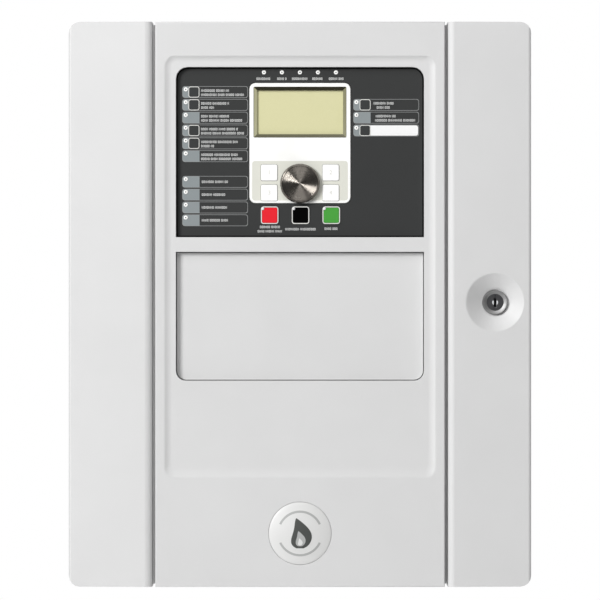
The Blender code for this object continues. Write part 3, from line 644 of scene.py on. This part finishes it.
def edge_line(name, box, corners, width, finish):
    """A thin flat dark line just inside the edge of a panel's face: painted shadow."""
    mesh = bmesh.new()
    low, high = box
    loops = []
    for inset in (EDGE_INSET, EDGE_INSET + width):
        rounds = tuple(max(corner - inset, 0.0) for corner in corners)
        loops.append(outline((low.x + inset, high.x - inset), (low.z + inset, high.z - inset), rounds))
    frame_of(mesh, loops[0], loops[1], low.y, low.y - PRINT)
    finished(name, mesh, finish, "door")


def add_edge_lines():
    """Painted shadow: a black border on the overlay's edge and a dark seam round the insert panel, where
    the recess wall and the gap shade them.
    """
    upper_corners = (0.0, 0.0, PANEL_CORNER, PANEL_CORNER)
    edge_line("overlay_painted_shadow", PANEL, upper_corners, PANEL_PAINTED_SHADOW, KEY_BLACK)
    lower_corners = (INSERT_CORNER, INSERT_CORNER, 0.0, 0.0)
    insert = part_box("insert_panel")
    edge_line("insert_painted_shadow", insert, lower_corners, INSERT_PAINTED_SHADOW, CHARCOAL)


def add_lamp_rings():
    places = [(TOP_LAMP_PITCH * index, TOP_LAMP_Z) for index in (-2, -1, 0, 1, 2)]
    places += [(LEFT_LAMP_X, row_z(row) + LAMP_LIFT) for row in LEFT_ROWS]
    places += [(RIGHT_LAMP_X, row_z(row) + LAMP_LIFT) for row in RIGHT_ROWS]
    profile = [(radius, PANEL_FRONT - proud) for radius, proud in LAMP_RING]
    mesh = bmesh.new()
    for place in places:
        lathe(mesh, profile, place, 20)
    finished("lamp_rings", mesh, WHITE, "door")


def square_ring(mesh, box, sizes, corners, proud):
    """A ring round a key, from its inner and outer sizes and corners."""
    x, z = centre_of(box)
    loops = [outline(around(x, size), around(z, size), corner) for size, corner in zip(sizes, corners)]
    inner, outer = loops
    frame_of(mesh, outer, inner, PANEL_FRONT, PANEL_FRONT - proud)


def add_key_rings():
    mesh = bmesh.new()
    for box in KEY_BOXES:
        square_ring(mesh, box, ZONE_RING, ZONE_RING_CORNERS, ZONE_RING_PROUD)
    for box in BIG_KEY_BOXES:
        size = box[1].x - box[0].x + BIG_RING_GAP
        square_ring(mesh, box, (size, size + 2 * BIG_RING_WIDTH), BIG_RING_CORNERS, BIG_RING_PROUD)
    finished("key_rings", mesh, RING_GREY, "door", 0.0001)


# Legends: a row and the widths of its two lines; a row and a width; widths; a large key with the height
# and the width of a line; a row with a line's lift and its two X values
LEFT_TEXT = (
    (0, 0.0256, 0.0400),
    (1, 0.0256, 0.0118),
    (2, 0.0256, 0.0370),
    (3, 0.0330, 0.0400),
    (4, 0.0330, 0.0118),
    (5, 0.0330, 0.0370),
)
LOWER_TEXT = ((7, 0.0240), (8, 0.0220), (9, 0.0235), (10, 0.0243))
TOP_TEXT = (0.0136, 0.0087, 0.0146, 0.0104, 0.0129)
KEY_TEXT = (
    (0, 0.0704, 0.0177),
    (0, 0.0665, 0.0219),
    (1, 0.0684, 0.0278),
    (2, 0.0688, 0.0122),
)
RIGHT_TEXT = (
    (1, 0.0014, 0.0671, 0.0853),
    (1, -0.0024, 0.0700, 0.0819),
    (2, 0.0014, 0.0690, 0.0875),
    (2, -0.0024, 0.0684, 0.1054),
)
TEXT_START = -0.0900
TEXT_INDENT = 0.0006
UPPER_LIFT = 0.0013
LOWER_LIFT = -0.0025
TOP_TEXT_LIFT = -0.0058
LEGEND_SEED = 5


def add_print_marks():
    """Plain marks where the panel carries its legends."""
    mesh = bmesh.new()
    rng = random.Random(LEGEND_SEED)
    for row, upper, lower in LEFT_TEXT:
        for width, lift in ((upper, UPPER_LIFT), (lower, LOWER_LIFT)):
            word_marks(mesh, rng, (TEXT_START, TEXT_START + width), row_z(row) + lift)
    for row, width in LOWER_TEXT:
        word_marks(mesh, rng, (TEXT_START + TEXT_INDENT, TEXT_START + width), row_z(row))
    for index, width in enumerate(TOP_TEXT):
        word_marks(mesh, rng, around(TOP_LAMP_PITCH * (index - 2), width), TOP_LAMP_Z + TOP_TEXT_LIFT)
    for key, z, width in KEY_TEXT:
        word_marks(mesh, rng, around(middle(BIG_KEY_BOXES[key]).x, width), z)
    for row, lift, low, high in RIGHT_TEXT:
        word_marks(mesh, rng, (low, high), row_z(row) + lift)
    finished("legend_marks", mesh, PRINT_LIGHT, "door")


def add_name_strip():
    """The blank white writing strip of the lowest right-hand row."""
    mesh = bmesh.new()
    strip = outline(STRIP_X, around(row_z(3), STRIP_HEIGHT), (0.0, 0.002, 0.002, 0.0))
    prism(mesh, strip, PANEL_FRONT, PANEL_FRONT - PRINT)
    finished("writing_strip", mesh, PRINT_WHITE, "door")


def add_display_bevel():
    """Four mitred sides that slope in from the bezel and end in a step down to the LCD; each side gets its
    own tone of painted shade.
    """
    mesh = bmesh.new()
    low, high = LCD
    start, stop = BEZEL_FRONT + 0.0003, LCD[0].y - BEVEL_GAP
    profile = (
        (BEVEL_GAP, stop),
        (BEVEL_GAP, start),
        (BEVEL_WIDTH, start + BEVEL_FALL),
        (BEVEL_WIDTH, stop),
    )
    rings = []
    for inset, level in profile:
        xs, zs = (low.x + inset, high.x - inset), (low.z + inset, high.z - inset)
        corners = ((xs[0], zs[0]), (xs[1], zs[0]), (xs[1], zs[1]), (xs[0], zs[1]))
        rings.append([mesh.verts.new((x, level, z)) for x, z in corners])
    for first, second in zip(rings, rings[1:] + rings[:1]):
        for index, face in enumerate(bridge(mesh, first, second)):
            face.material_index = index
    # Painted shade: each side takes its own lit or shaded copy of the olive
    sides = (BEVEL_BOTTOM_PAINTED_SHADE, BEVEL_RIGHT_PAINTED_SHADE, BEVEL_TOP_PAINTED_SHADE, BEVEL_LEFT_PAINTED_SHADE)
    finished("display_bevel", mesh, sides, "door")


def add_key_lenses():
    """The small white lenses in the upper left corners of the large keys."""
    mesh = bmesh.new()
    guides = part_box("light_guide_keys")
    for box in BIG_KEY_BOXES:
        x, z = centre_of(box)
        front = box[0].y - 0.0001
        profile = [
            (0.0, front),
            (LENS_RADIUS * 0.7, front),
            (LENS_RADIUS, front + 0.0002),
            (LENS_RADIUS, guides[0].y),
            (0.0, guides[0].y),
        ]
        lathe(mesh, profile, (x + LENS_OFFSET[0], z + LENS_OFFSET[1]), 20)
    finished("key_lenses", mesh, KEY_LAMP, "door")


def add_digits():
    """A small printed number on each function key."""
    for number, key in enumerate(FUNCTION_KEYS, 1):
        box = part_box(key)
        text = bpy.data.curves.new(f"key_number_{number}", "FONT")
        text.body = str(number)
        text.size = DIGIT_SIZE
        text.extrude = PRINT / 2
        text.align_x = "CENTER"
        text.align_y = "CENTER"
        text.materials.append(PRINT_MARK)
        piece = placed(text.name, text)
        piece.location = (middle(box).x, box[0].y - PRINT / 2, middle(box).z)
        piece.rotation_euler = (math.radians(90), 0.0, 0.0)
        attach(piece, key)


SPIN_STEP = 0.0003
SPIN_RISE = 0.0001
SPIN_RINGS = 53
FACE_SINK = 0.0003
SKIRT_DEPTH = 0.0028
SKIRT_INNER = 0.0165
COLLAR_HEIGHT = 0.003
HUB_RADIUS = 0.0040
SHAFT_RADIUS = 0.0018
SHAFT_START = 0.0036


def add_dial():
    """The jog dial: a spun face of fine V-shaped rings inside a soft-edged rim."""
    mesh = bmesh.new()
    radius = DIAL[1].x
    front, rear = DIAL[0].y, DIAL[1].y
    collar = rear - COLLAR_HEIGHT
    face = front + FACE_SINK
    profile = [(SPIN_STEP * step, face + SPIN_RISE * (step % 2)) for step in range(SPIN_RINGS)]
    profile += [
        (0.0160, face),
        (0.0163, front),
        (0.0167, front + 0.0002),
        (0.0171, front + 0.0009),
        (radius - 0.0002, front + 0.0022),
        (radius, front + SKIRT_DEPTH),
        (radius, collar - 0.0003),
        (radius - 0.0003, collar),
        (SKIRT_INNER, collar),
        (SKIRT_INNER, front + SKIRT_DEPTH),
        (HUB_RADIUS, front + SKIRT_DEPTH),
        (HUB_RADIUS, rear),
        (SHAFT_RADIUS, rear),
        (SHAFT_RADIUS, front + SHAFT_START),
        (0.0, front + SHAFT_START),
    ]
    lathe(mesh, profile, (0.0, middle(DIAL).z), 96)
    finished("dial_knob_turned", mesh, DIAL_METAL, "dial_knob", replaces=("jog_dial",))


# Badge

BADGE_RADIUS = (BADGE[1].x - BADGE[0].x) / 2
BADGE_STEPS = 12
BADGE_CHAMFER = 0.0004
INLAY = 0.00012
RING_INLAY = (0.0188, 0.0208)
RING_ARCS = ((25, 155), (205, 335))
ARC_STEPS = 24
# Each flame's name, finish, drop below the centre, height, width, lean and thickness
FLAMES = (
    ("badge_flame_inlay", EMBLEM_DARK, 0.0, 0.0280, 0.0185, 0.0042, 0.00012),
    ("badge_flame_core", EMBLEM_GREY, 0.0048, 0.0140, 0.0088, 0.0018, 0.00024),
    ("badge_flame_heart", BADGE_WHITE, 0.0076, 0.0066, 0.0042, 0.0008, 0.00036),
)


def dome_level(x, z):
    """Y of the badge's face at a place."""
    centre_x, centre_z = centre_of(BADGE)
    away = ((x - centre_x) ** 2 + (z - centre_z) ** 2) / BADGE_RADIUS**2
    return BADGE[0].y + BADGE_BOW * away


def add_badge():
    mesh = bmesh.new()
    x, z = centre_of(BADGE)
    profile = [(0.0, BADGE[0].y)]
    for step in range(1, BADGE_STEPS + 1):
        reach = (BADGE_RADIUS - BADGE_CHAMFER) * step / BADGE_STEPS
        profile.append((reach, dome_level(x + reach, z)))
    rim = profile[-1][1]
    profile += [(BADGE_RADIUS, rim + BADGE_CHAMFER), (BADGE_RADIUS, BADGE[1].y), (0.0, BADGE[1].y)]
    lathe(mesh, profile, (x, z), 96)
    finished("badge_dome", mesh, BADGE_WHITE, "door", replaces=("badge",))


def inlay(mesh, rows, thickness):
    """A thin plate that follows the dome, from equally long rows of XZ points."""
    sides = [
        [[mesh.verts.new((x, dome_level(x, z) + proud, z)) for x, z in row] for row in rows]
        for proud in (-thickness, thickness)
    ]
    last_row, last = len(rows) - 1, len(rows[0]) - 1
    for grid in sides:
        for row in range(last_row):
            for index in range(last):
                lower, upper = grid[row], grid[row + 1]
                mesh.faces.new((lower[index], lower[index + 1], upper[index + 1], upper[index]))
    around_it = [(0, index) for index in range(last)]
    around_it += [(row, last) for row in range(last_row)]
    around_it += [(last_row, index) for index in range(last, 0, -1)]
    around_it += [(row, 0) for row in range(last_row, 0, -1)]
    bridge(mesh, *([grid[row][index] for row, index in around_it] for grid in sides))


def flame_rows(centre, height, width, lean, rows=18, columns=6):
    """Rows across a plain flame: a round foot that narrows to a tip, which leans to one side."""
    lines = []
    for row in range(rows + 1):
        share = 0.02 + 0.975 * row / rows
        swell = math.sin(math.pi * share**0.62) ** 0.8 * width / 2
        sway = lean * math.sin(share * math.pi * 1.3) * share
        z = centre[1] + height * (share - 0.5)
        places = [2 * column / columns - 1 for column in range(columns + 1)]
        lines.append([(centre[0] + sway + swell * place, z) for place in places])
    return lines


def add_emblem():
    """A generic flame between two arcs, as flat inlays on the badge."""
    x, z = centre_of(BADGE)
    ring = bmesh.new()
    for start, stop in RING_ARCS:
        arc = [math.radians(start + (stop - start) * step / ARC_STEPS) for step in range(ARC_STEPS + 1)]
        rows = []
        for reach in RING_INLAY:
            rows.append([(x + reach * math.cos(turn), z + reach * math.sin(turn)) for turn in arc])
        inlay(ring, rows, INLAY)
    finished("badge_ring_inlay", ring, EMBLEM_GREY, "door")
    for name, finish, drop, height, width, lean, proud in FLAMES:
        flame = bmesh.new()
        inlay(flame, flame_rows((x, z - drop), height, width, lean), proud)
        finished(name, flame, finish, "door")


# Lock

LIP_INNER = 0.0077
LIP_OUTER = 0.0106
LIP_PROUD = 0.0015
THROAT_PROUD = 0.00047
FLANGE_DEPTH = 0.0022
SLEEVE_RADIUS = 0.0090
BORE_RADIUS = 0.0063
SEAT_RADIUS = 0.0083
SEAT_DEPTH = 0.0030
# The pale patches beside the keyway, which stand for its bright metal and carry a painted highlight
HIGHLIGHT_REACH = 0.0027
HIGHLIGHT_INNER = 0.0013
HIGHLIGHT_ARC = (-75, 35)
HIGHLIGHT_STEPS = 10
# The groove above the keyway, drawn flat in painted shade
GROOVE_WIDTH = 0.0009
GROOVE_SPAN = (0.0030, 0.0068)


def add_lock_ring():
    """The barrel: a flange, a funnel-shaped lip proud of it, and a sleeve with the plug's seat."""
    front, rear = BARREL[0].y, BARREL[1].y
    radius = (BARREL[1].x - BARREL[0].x) / 2
    profile = [
        (LIP_INNER, front - THROAT_PROUD),
        (LIP_INNER, front - 0.0006),
        (LIP_INNER + 0.0003, front - 0.0008),
        (LIP_OUTER - 0.0004, front - LIP_PROUD),
        (LIP_OUTER, front - LIP_PROUD),
        (radius - 0.0002, front - 0.0006),
        (radius, front - 0.0002),
        (radius, front + FLANGE_DEPTH),
        (SLEEVE_RADIUS, front + FLANGE_DEPTH),
        (SLEEVE_RADIUS, rear),
        (BORE_RADIUS, rear),
        (BORE_RADIUS, front + SEAT_DEPTH),
        (SEAT_RADIUS, front + SEAT_DEPTH),
        (SEAT_RADIUS, front - THROAT_PROUD),
    ]
    mesh = bmesh.new()
    lathe(mesh, profile, centre_of(BARREL), 64)
    finished("lock_barrel_turned", mesh, CHROME, "door", replaces=("lock_barrel",))


def add_key_guide():
    """Two pale matte patches beside the keyway, straight on their inner sides and round on their outer
    ones: the bright metal there and its painted highlight.
    """
    x, z = centre_of(BARREL)
    start, stop = HIGHLIGHT_ARC
    mesh = bmesh.new()
    for side in (-1, 1):
        points = []
        for step in range(HIGHLIGHT_STEPS + 1):
            turn = math.radians(start + (stop - start) * step / HIGHLIGHT_STEPS)
            reach = max(HIGHLIGHT_REACH * math.cos(turn), HIGHLIGHT_INNER)
            points.append((x + side * reach, z + HIGHLIGHT_REACH * math.sin(turn)))
        points.append((x + side * HIGHLIGHT_INNER, points[-1][1]))
        prism(mesh, points, PLUG[0].y + PRINT, PLUG[0].y - PRINT)
    finished("keyway_metal_and_highlight", mesh, LABEL, "lock_cylinder")


def add_key_groove():
    """The short groove above the keyway, drawn as a flat dark mark: painted shade of its hollow."""
    x, z = centre_of(BARREL)
    mesh = bmesh.new()
    line = outline(around(x, GROOVE_WIDTH), [z + rise for rise in GROOVE_SPAN], GROOVE_WIDTH / 3, 2)
    prism(mesh, line, PLUG[0].y + PRINT, PLUG[0].y - PRINT / 2)
    finished("key_groove_shade", mesh, BLACK_PLASTIC, "lock_cylinder")


# Inside

# The faces that small parts stand on, each a sheet's thickness from the far side of its node
BOARD_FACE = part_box("main_board")[1].y - 0.0016
PLATE_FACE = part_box("chassis_plate")[1].y - 0.0015
DOOR_PLATE_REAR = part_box("door_frame")[0].y + 0.0025

# A screw head's outline and its cross recess, drawn as flat painted shade, as shares of its radius
SCREW_HEAD = ((0.0, 0.42), (0.5, 0.42), (0.85, 0.3), (1.0, 0.1), (1.0, 0.0), (0.0, 0.0))
SCREW_RECESS_SHADE = ((0.9, 0.16), (0.16, 0.9))
SCREW_RISE = SCREW_HEAD[0][1]
# The X and Z values that screws stand at
CHASSIS_SCREWS = ((-0.162, 0.162), (-0.125, 0.225))
BOARD_SCREWS = ((-0.155, 0.155), (0.025,))
DOOR_SCREWS = ((-0.185, -0.118, 0.118, 0.185), (-0.230, -0.105, 0.105, 0.230))
DOOR_MIDDLE_SCREWS = ((0.0,), (-0.230, 0.230))
SUPPLY_SCREW_INSET = 0.009

# X and Z of the middle, width, height and depth of each chip on the main board
CHIPS = (
    (0.0, 0.120, 0.030, 0.030, 0.003),
    (-0.090, 0.110, 0.050, 0.020, 0.009),
    (0.090, 0.110, 0.050, 0.020, 0.009),
    (-0.120, 0.050, 0.018, 0.016, 0.014),
    (-0.080, 0.050, 0.018, 0.016, 0.014),
    (-0.040, 0.050, 0.018, 0.016, 0.014),
    (0.060, 0.050, 0.060, 0.010, 0.009),
)
CHIP_SKIN = 0.0002
LEG_PITCH = 0.0025
LEG_WIDTH = 0.001
LEG_REACH = 0.0018
LEG_HEIGHT = 0.0008

# Small chips: the first X and Z of each group, with its columns and rows
CHIP_GROUPS = (
    (-0.150, 0.145, 20, 3),
    (0.020, 0.145, 22, 3),
    (-0.150, 0.026, 16, 2),
    (0.0, 0.088, 12, 3),
)
GROUP_PITCH = (0.0055, 0.006)
SMALL_CHIP = (0.0024, 0.0012)
SMALL_CHIP_HEIGHT = 0.0008
EMPTY_SHARE = 0.25
UPRIGHT_SHARE = 0.4
CHIP_SEED = 11

# X and Z of the middle, radius and height of each capacitor
CANS = (
    (-0.010, 0.050, 0.006, 0.016),
    (0.014, 0.050, 0.005, 0.013),
    (-0.140, 0.080, 0.004, 0.010),
    (0.135, 0.075, 0.006, 0.016),
    (0.135, 0.055, 0.005, 0.013),
    (0.040, 0.075, 0.004, 0.010),
)

FUSE_ZS = (0.066, 0.052, 0.038)
FUSE_LIFT = 0.0045
FUSE_SIDES = 16
GLASS_XS = (0.1045, 0.1205)
GLASS_RADIUS = 0.0024
CAP_XS = ((0.1015, 0.1050), (0.1200, 0.1235))
CAP_RADIUS = 0.0027
CLIP_XS = (0.1032, 0.1218)
CLIP_WIDTH = 0.0026
CLIP_TALL = 0.0066

TERMINAL_WAYS = 12
TERMINAL_SCREW = 0.0026
TERMINAL_SCREW_DROP = 0.0045
ENTRY_WIDTH = 0.0062
ENTRY_SPAN = (0.0012, 0.0062)

LABEL_MARGIN = 0.018
LABEL_SPAN = (0.022, 0.072)
BOOT_INSET = 0.020
BOOT_WIDTH = 0.010
BOOT_DROPS = (0.0062, 0.0006)
# Y of a boot's rear and front
BOOT_YS = (-0.0545, -0.0605)

# The seal's half sizes across and up, and its corners, outside and inside
SEAL = ((0.2012, 0.2480, 0.004), (0.1952, 0.2420, 0.002))
SEAL_THICKNESS = 0.0022


def corners_of(xs, zs):
    return [(x, z) for x in xs for z in zs]


def add_screws(name, places, level, radius, body, facing=-1):
    """Pan-head screws on a face that looks along facing Y, each with its cross recess shown as a flat dark
    mark of painted shade.
    """
    heads, recess_shades = bmesh.new(), bmesh.new()
    top = level + facing * radius * SCREW_RISE
    profile = [(radius * out, level + facing * radius * rise) for out, rise in SCREW_HEAD]
    for x, z in places:
        lathe(heads, profile, (x, z), 20)
        # The cross recess is a flat dark plate: painted shade
        for wide, tall in SCREW_RECESS_SHADE:
            bar = outline(around(x, radius * wide), around(z, radius * tall))
            prism(recess_shades, bar, top - facing * PRINT, top + facing * PRINT / 2)
    finished(name, heads, STEEL, body)
    finished(name + "_recess_shade", recess_shades, BLACK_PLASTIC, body)


def add_all_screws():
    """The screws of the chassis plate, the main board and the power supply, and those behind the door."""
    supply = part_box("power_supply")
    supply_xs = (supply[0].x + SUPPLY_SCREW_INSET, supply[1].x - SUPPLY_SCREW_INSET)
    supply_zs = (supply[0].z + SUPPLY_SCREW_INSET, supply[1].z - SUPPLY_SCREW_INSET)
    door = corners_of(*DOOR_SCREWS) + corners_of(*DOOR_MIDDLE_SCREWS)
    add_screws("chassis_screws", corners_of(*CHASSIS_SCREWS), PLATE_FACE, 0.0042, "cabinet")
    add_screws("board_screws", corners_of(*BOARD_SCREWS), BOARD_FACE, 0.0032, "cabinet")
    add_screws("supply_screws", corners_of(supply_xs, supply_zs), supply[0].y, 0.0034, "cabinet")
    add_screws("door_screws", door, DOOR_PLATE_REAR, 0.0045, "door", facing=1)


def add_chips():
    """Chip bodies just outside the main board's own blocks, with tinned legs on two sides."""
    bodies, legs = bmesh.new(), bmesh.new()
    for x, z, width, height, depth in CHIPS:
        body = outline(around(x, width + 2 * CHIP_SKIN), around(z, height + 2 * CHIP_SKIN), 0.0006, 2)
        prism(bodies, body, BOARD_FACE, BOARD_FACE - depth - CHIP_SKIN)
        count = int(width / LEG_PITCH)
        for index in range(count):
            leg_xs = around(x + (index - (count - 1) / 2) * LEG_PITCH, LEG_WIDTH)
            for side in (-1, 1):
                foot = sorted((z + side * height / 2, z + side * (height / 2 + LEG_REACH)))
                prism(legs, outline(leg_xs, foot), BOARD_FACE, BOARD_FACE - LEG_HEIGHT)
    finished("chip_bodies", bodies, BLACK_PLASTIC, "cabinet", 0.0002)
    finished("chip_legs", legs, TIN, "cabinet")


def add_small_chips():
    """Groups of tiny chips, some left out and some standing upright."""
    mesh = bmesh.new()
    rng = random.Random(CHIP_SEED)
    for x_low, z_low, columns, rows in CHIP_GROUPS:
        for column in range(columns):
            for row in range(rows):
                if rng.random() < EMPTY_SHARE:
                    continue
                wide, tall = SMALL_CHIP[::-1] if rng.random() < UPRIGHT_SHARE else SMALL_CHIP
                xs = around(x_low + column * GROUP_PITCH[0], wide)
                zs = around(z_low + row * GROUP_PITCH[1], tall)
                prism(mesh, outline(xs, zs), BOARD_FACE, BOARD_FACE - SMALL_CHIP_HEIGHT)
    finished("small_chips", mesh, BLACK_PLASTIC, "cabinet")


def add_capacitors():
    """Cans in dark sleeves with bare metal tops."""
    sleeves, tops = bmesh.new(), bmesh.new()
    for x, z, radius, height in CANS:
        front = BOARD_FACE - height
        sleeve = [
            (0.0, BOARD_FACE),
            (radius, BOARD_FACE),
            (radius, front + 0.0006),
            (radius - 0.0005, front),
            (radius - 0.0010, front + 0.0001),
            (0.0, front + 0.0002),
        ]
        top = [
            (0.0, front + 0.0001),
            (radius - 0.0012, front + 0.0001),
            (radius - 0.0012, front + 0.0004),
            (0.0, front + 0.0004),
        ]
        lathe(sleeves, sleeve, (x, z), 28)
        lathe(tops, top, (x, z), 28)
    finished("capacitor_sleeves", sleeves, CAPACITOR, "cabinet")
    finished("capacitor_tops", tops, TIN, "cabinet")


def rod(mesh, xs, y, z, radius):
    """A round rod along X."""
    turns = [math.tau * step / FUSE_SIDES for step in range(FUSE_SIDES)]
    rings = []
    for x in xs:
        places = [(x, y + radius * math.cos(turn), z + radius * math.sin(turn)) for turn in turns]
        rings.append([mesh.verts.new(place) for place in places])
    capped(mesh, *rings)


def add_fuses():
    """Glass fuses with metal caps, lying in clips."""
    glass, clips = bmesh.new(), bmesh.new()
    y = BOARD_FACE - FUSE_LIFT
    for z in FUSE_ZS:
        rod(glass, GLASS_XS, y, z, GLASS_RADIUS)
        for xs in CAP_XS:
            rod(clips, xs, y, z, CAP_RADIUS)
        for x in CLIP_XS:
            prism(clips, outline(around(x, CLIP_WIDTH), around(z, CLIP_TALL)), BOARD_FACE, y + 0.001)
    finished("fuse_glass", glass, LAMP, "cabinet")
    finished("fuse_clips", clips, TIN, "cabinet")


def add_terminal_parts():
    """A clamp screw for every way of the two terminal blocks, and its wire entry drawn as a flat dark mark
    of painted shade.
    """
    for side in ("left", "right"):
        low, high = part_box(f"terminal_block_{side}")
        pitch = (high.x - low.x) / TERMINAL_WAYS
        xs = [low.x + pitch * (index + 0.5) for index in range(TERMINAL_WAYS)]
        screws = corners_of(xs, (high.z - TERMINAL_SCREW_DROP,))
        add_screws(f"terminal_screws_{side}", screws, low.y, TERMINAL_SCREW, "cabinet")
        # Wire entries are flat dark plates: painted shade of the openings
        entry_shades = bmesh.new()
        entry_zs = [low.z + rise for rise in ENTRY_SPAN]
        for x in xs:
            entry = outline(around(x, ENTRY_WIDTH), entry_zs, 0.0006, 2)
            prism(entry_shades, entry, low.y + PRINT, low.y - PRINT)
        finished(f"terminal_entry_shades_{side}", entry_shades, BLACK_PLASTIC, "cabinet")


def add_battery_parts():
    """A plain label plate on each battery and coloured boots on its two tabs."""
    for side in ("left", "right"):
        low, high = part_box(f"battery_{side}")
        label = bmesh.new()
        label_xs = (low.x + LABEL_MARGIN, high.x - LABEL_MARGIN)
        label_zs = [low.z + rise for rise in LABEL_SPAN]
        prism(label, outline(label_xs, label_zs, 0.003), low.y, low.y - 2 * PRINT)
        finished(f"battery_label_{side}", label, LABEL, "cabinet")
        boots = (
            (KEY_RED, "key_red", low.x + BOOT_INSET),
            (BLACK_PLASTIC, "black_plastic", high.x - BOOT_INSET),
        )
        for finish, slot, x in boots:
            boot = bmesh.new()
            outer = outline(around(x, BOOT_WIDTH), [high.z - drop for drop in BOOT_DROPS], 0.0008, 2)
            prism(boot, outer, *BOOT_YS)
            finished(f"battery_boot_{side}_{slot}", boot, finish, "cabinet", 0.0005)


def add_seal():
    """The foam seal on the door plate, just inside the cabinet's rim."""
    mesh = bmesh.new()
    outer, inner = (outline((-across, across), (-up, up), corner) for across, up, corner in SEAL)
    frame_of(mesh, outer, inner, DOOR_PLATE_REAR, DOOR_PLATE_REAR + SEAL_THICKNESS)
    finished("door_seal", mesh, RUBBER, "door", 0.0006)


# Stage, light and camera

FLOOR_RADIUS = 2.0
FLOOR_Z = -0.85
# How bright the white world is as a light source
FILL = 0.160
ORIGIN = (0.0, 0.0, 0.0)
# Each area light's name, place, target, size in metres and power in watts
LIGHTS = (
    ("key_light", (-3.0, -3.7, 1.75), ORIGIN, 1.7, 215.0),
    ("top_light", (0.0, -1.3, 1.25), ORIGIN, 1.0, 7.5),
    ("side_light", (2.4, 0.8, 0.3), ORIGIN, 1.0, 10.0),
    ("overhead_light", (0.0, 1.35, 3.0), (0.0, 1.35, 0.0), 2.4, 30.0),
    ("rear_light", (2.4, 3.6, 1.2), ORIGIN, 2.0, 40.0),
)
# The width that the camera sees at the fascia, its distance from the wall face, its height and its sensor
FIELD = 0.5454
CAMERA_AWAY = 4.0
CAMERA_Z = 0.0039
SENSOR = 36.0


def add_floor():
    mesh = bmesh.new()
    bmesh.ops.create_circle(mesh, cap_ends=True, segments=96, radius=FLOOR_RADIUS)
    data = bpy.data.meshes.new("floor")
    mesh.to_mesh(data)
    mesh.free()
    finish = Finish("floor_pale")
    shade = finish.noise(finish.where(), 3.0, 4.0)
    finish.colour(finish.mix(shade, tone(236), tone(242)))
    finish.rough(finish.ranged(shade, 0.0, 1.0, 0.7, 0.85))
    data.materials.append(finish.material)
    floor = placed("floor", data)
    floor.location.z = FLOOR_Z


def add_area_light(name, place, target, size, power):
    light = bpy.data.lights.new(name, "AREA")
    light.size = size
    light.energy = power
    lamp = placed(name, light)
    lamp.location = place
    lamp.rotation_euler = (Vector(target) - Vector(place)).to_track_quat("-Z", "Y").to_euler()


def light_world():
    """White to the eye, and dimmer as a light source."""
    world = bpy.data.worlds.new("studio")
    bpy.context.scene.world = world
    world.use_nodes = True
    nodes, links = world.node_tree.nodes, world.node_tree.links
    backdrop = nodes["Background"]
    backdrop.inputs["Color"].default_value = (1.0, 1.0, 1.0, 1.0)
    paths = nodes.new("ShaderNodeLightPath")
    strength = nodes.new("ShaderNodeMapRange")
    strength.inputs["To Min"].default_value = FILL
    strength.inputs["To Max"].default_value = 1.0
    links.new(paths.outputs["Is Camera Ray"], strength.inputs["Value"])
    links.new(strength.outputs["Result"], backdrop.inputs["Strength"])


def add_camera():
    camera = bpy.data.cameras.new("camera")
    camera.sensor_width = SENSOR
    camera.lens = SENSOR * (CAMERA_AWAY + FASCIA[0].y) / FIELD
    view = placed("camera", camera)
    view.location = (0.0, -CAMERA_AWAY, CAMERA_Z)
    view.rotation_euler = (math.radians(90), 0.0, 0.0)
    bpy.context.scene.camera = view
    bpy.context.scene.view_settings.view_transform = "Standard"


def main():
    add_camera()
    add_floor()
    light_world()
    for light in LIGHTS:
        add_area_light(*light)
    refine_nodes()
    add_row_prints()
    add_edge_lines()
    add_lamp_rings()
    add_key_rings()
    add_print_marks()
    add_name_strip()
    add_display_bevel()
    add_digits()
    add_key_lenses()
    add_dial()
    add_badge()
    add_emblem()
    add_lock_ring()
    add_key_guide()
    add_key_groove()
    add_all_screws()
    add_chips()
    add_small_chips()
    add_capacitors()
    add_fuses()
    add_terminal_parts()
    add_battery_parts()
    add_seal()


main()
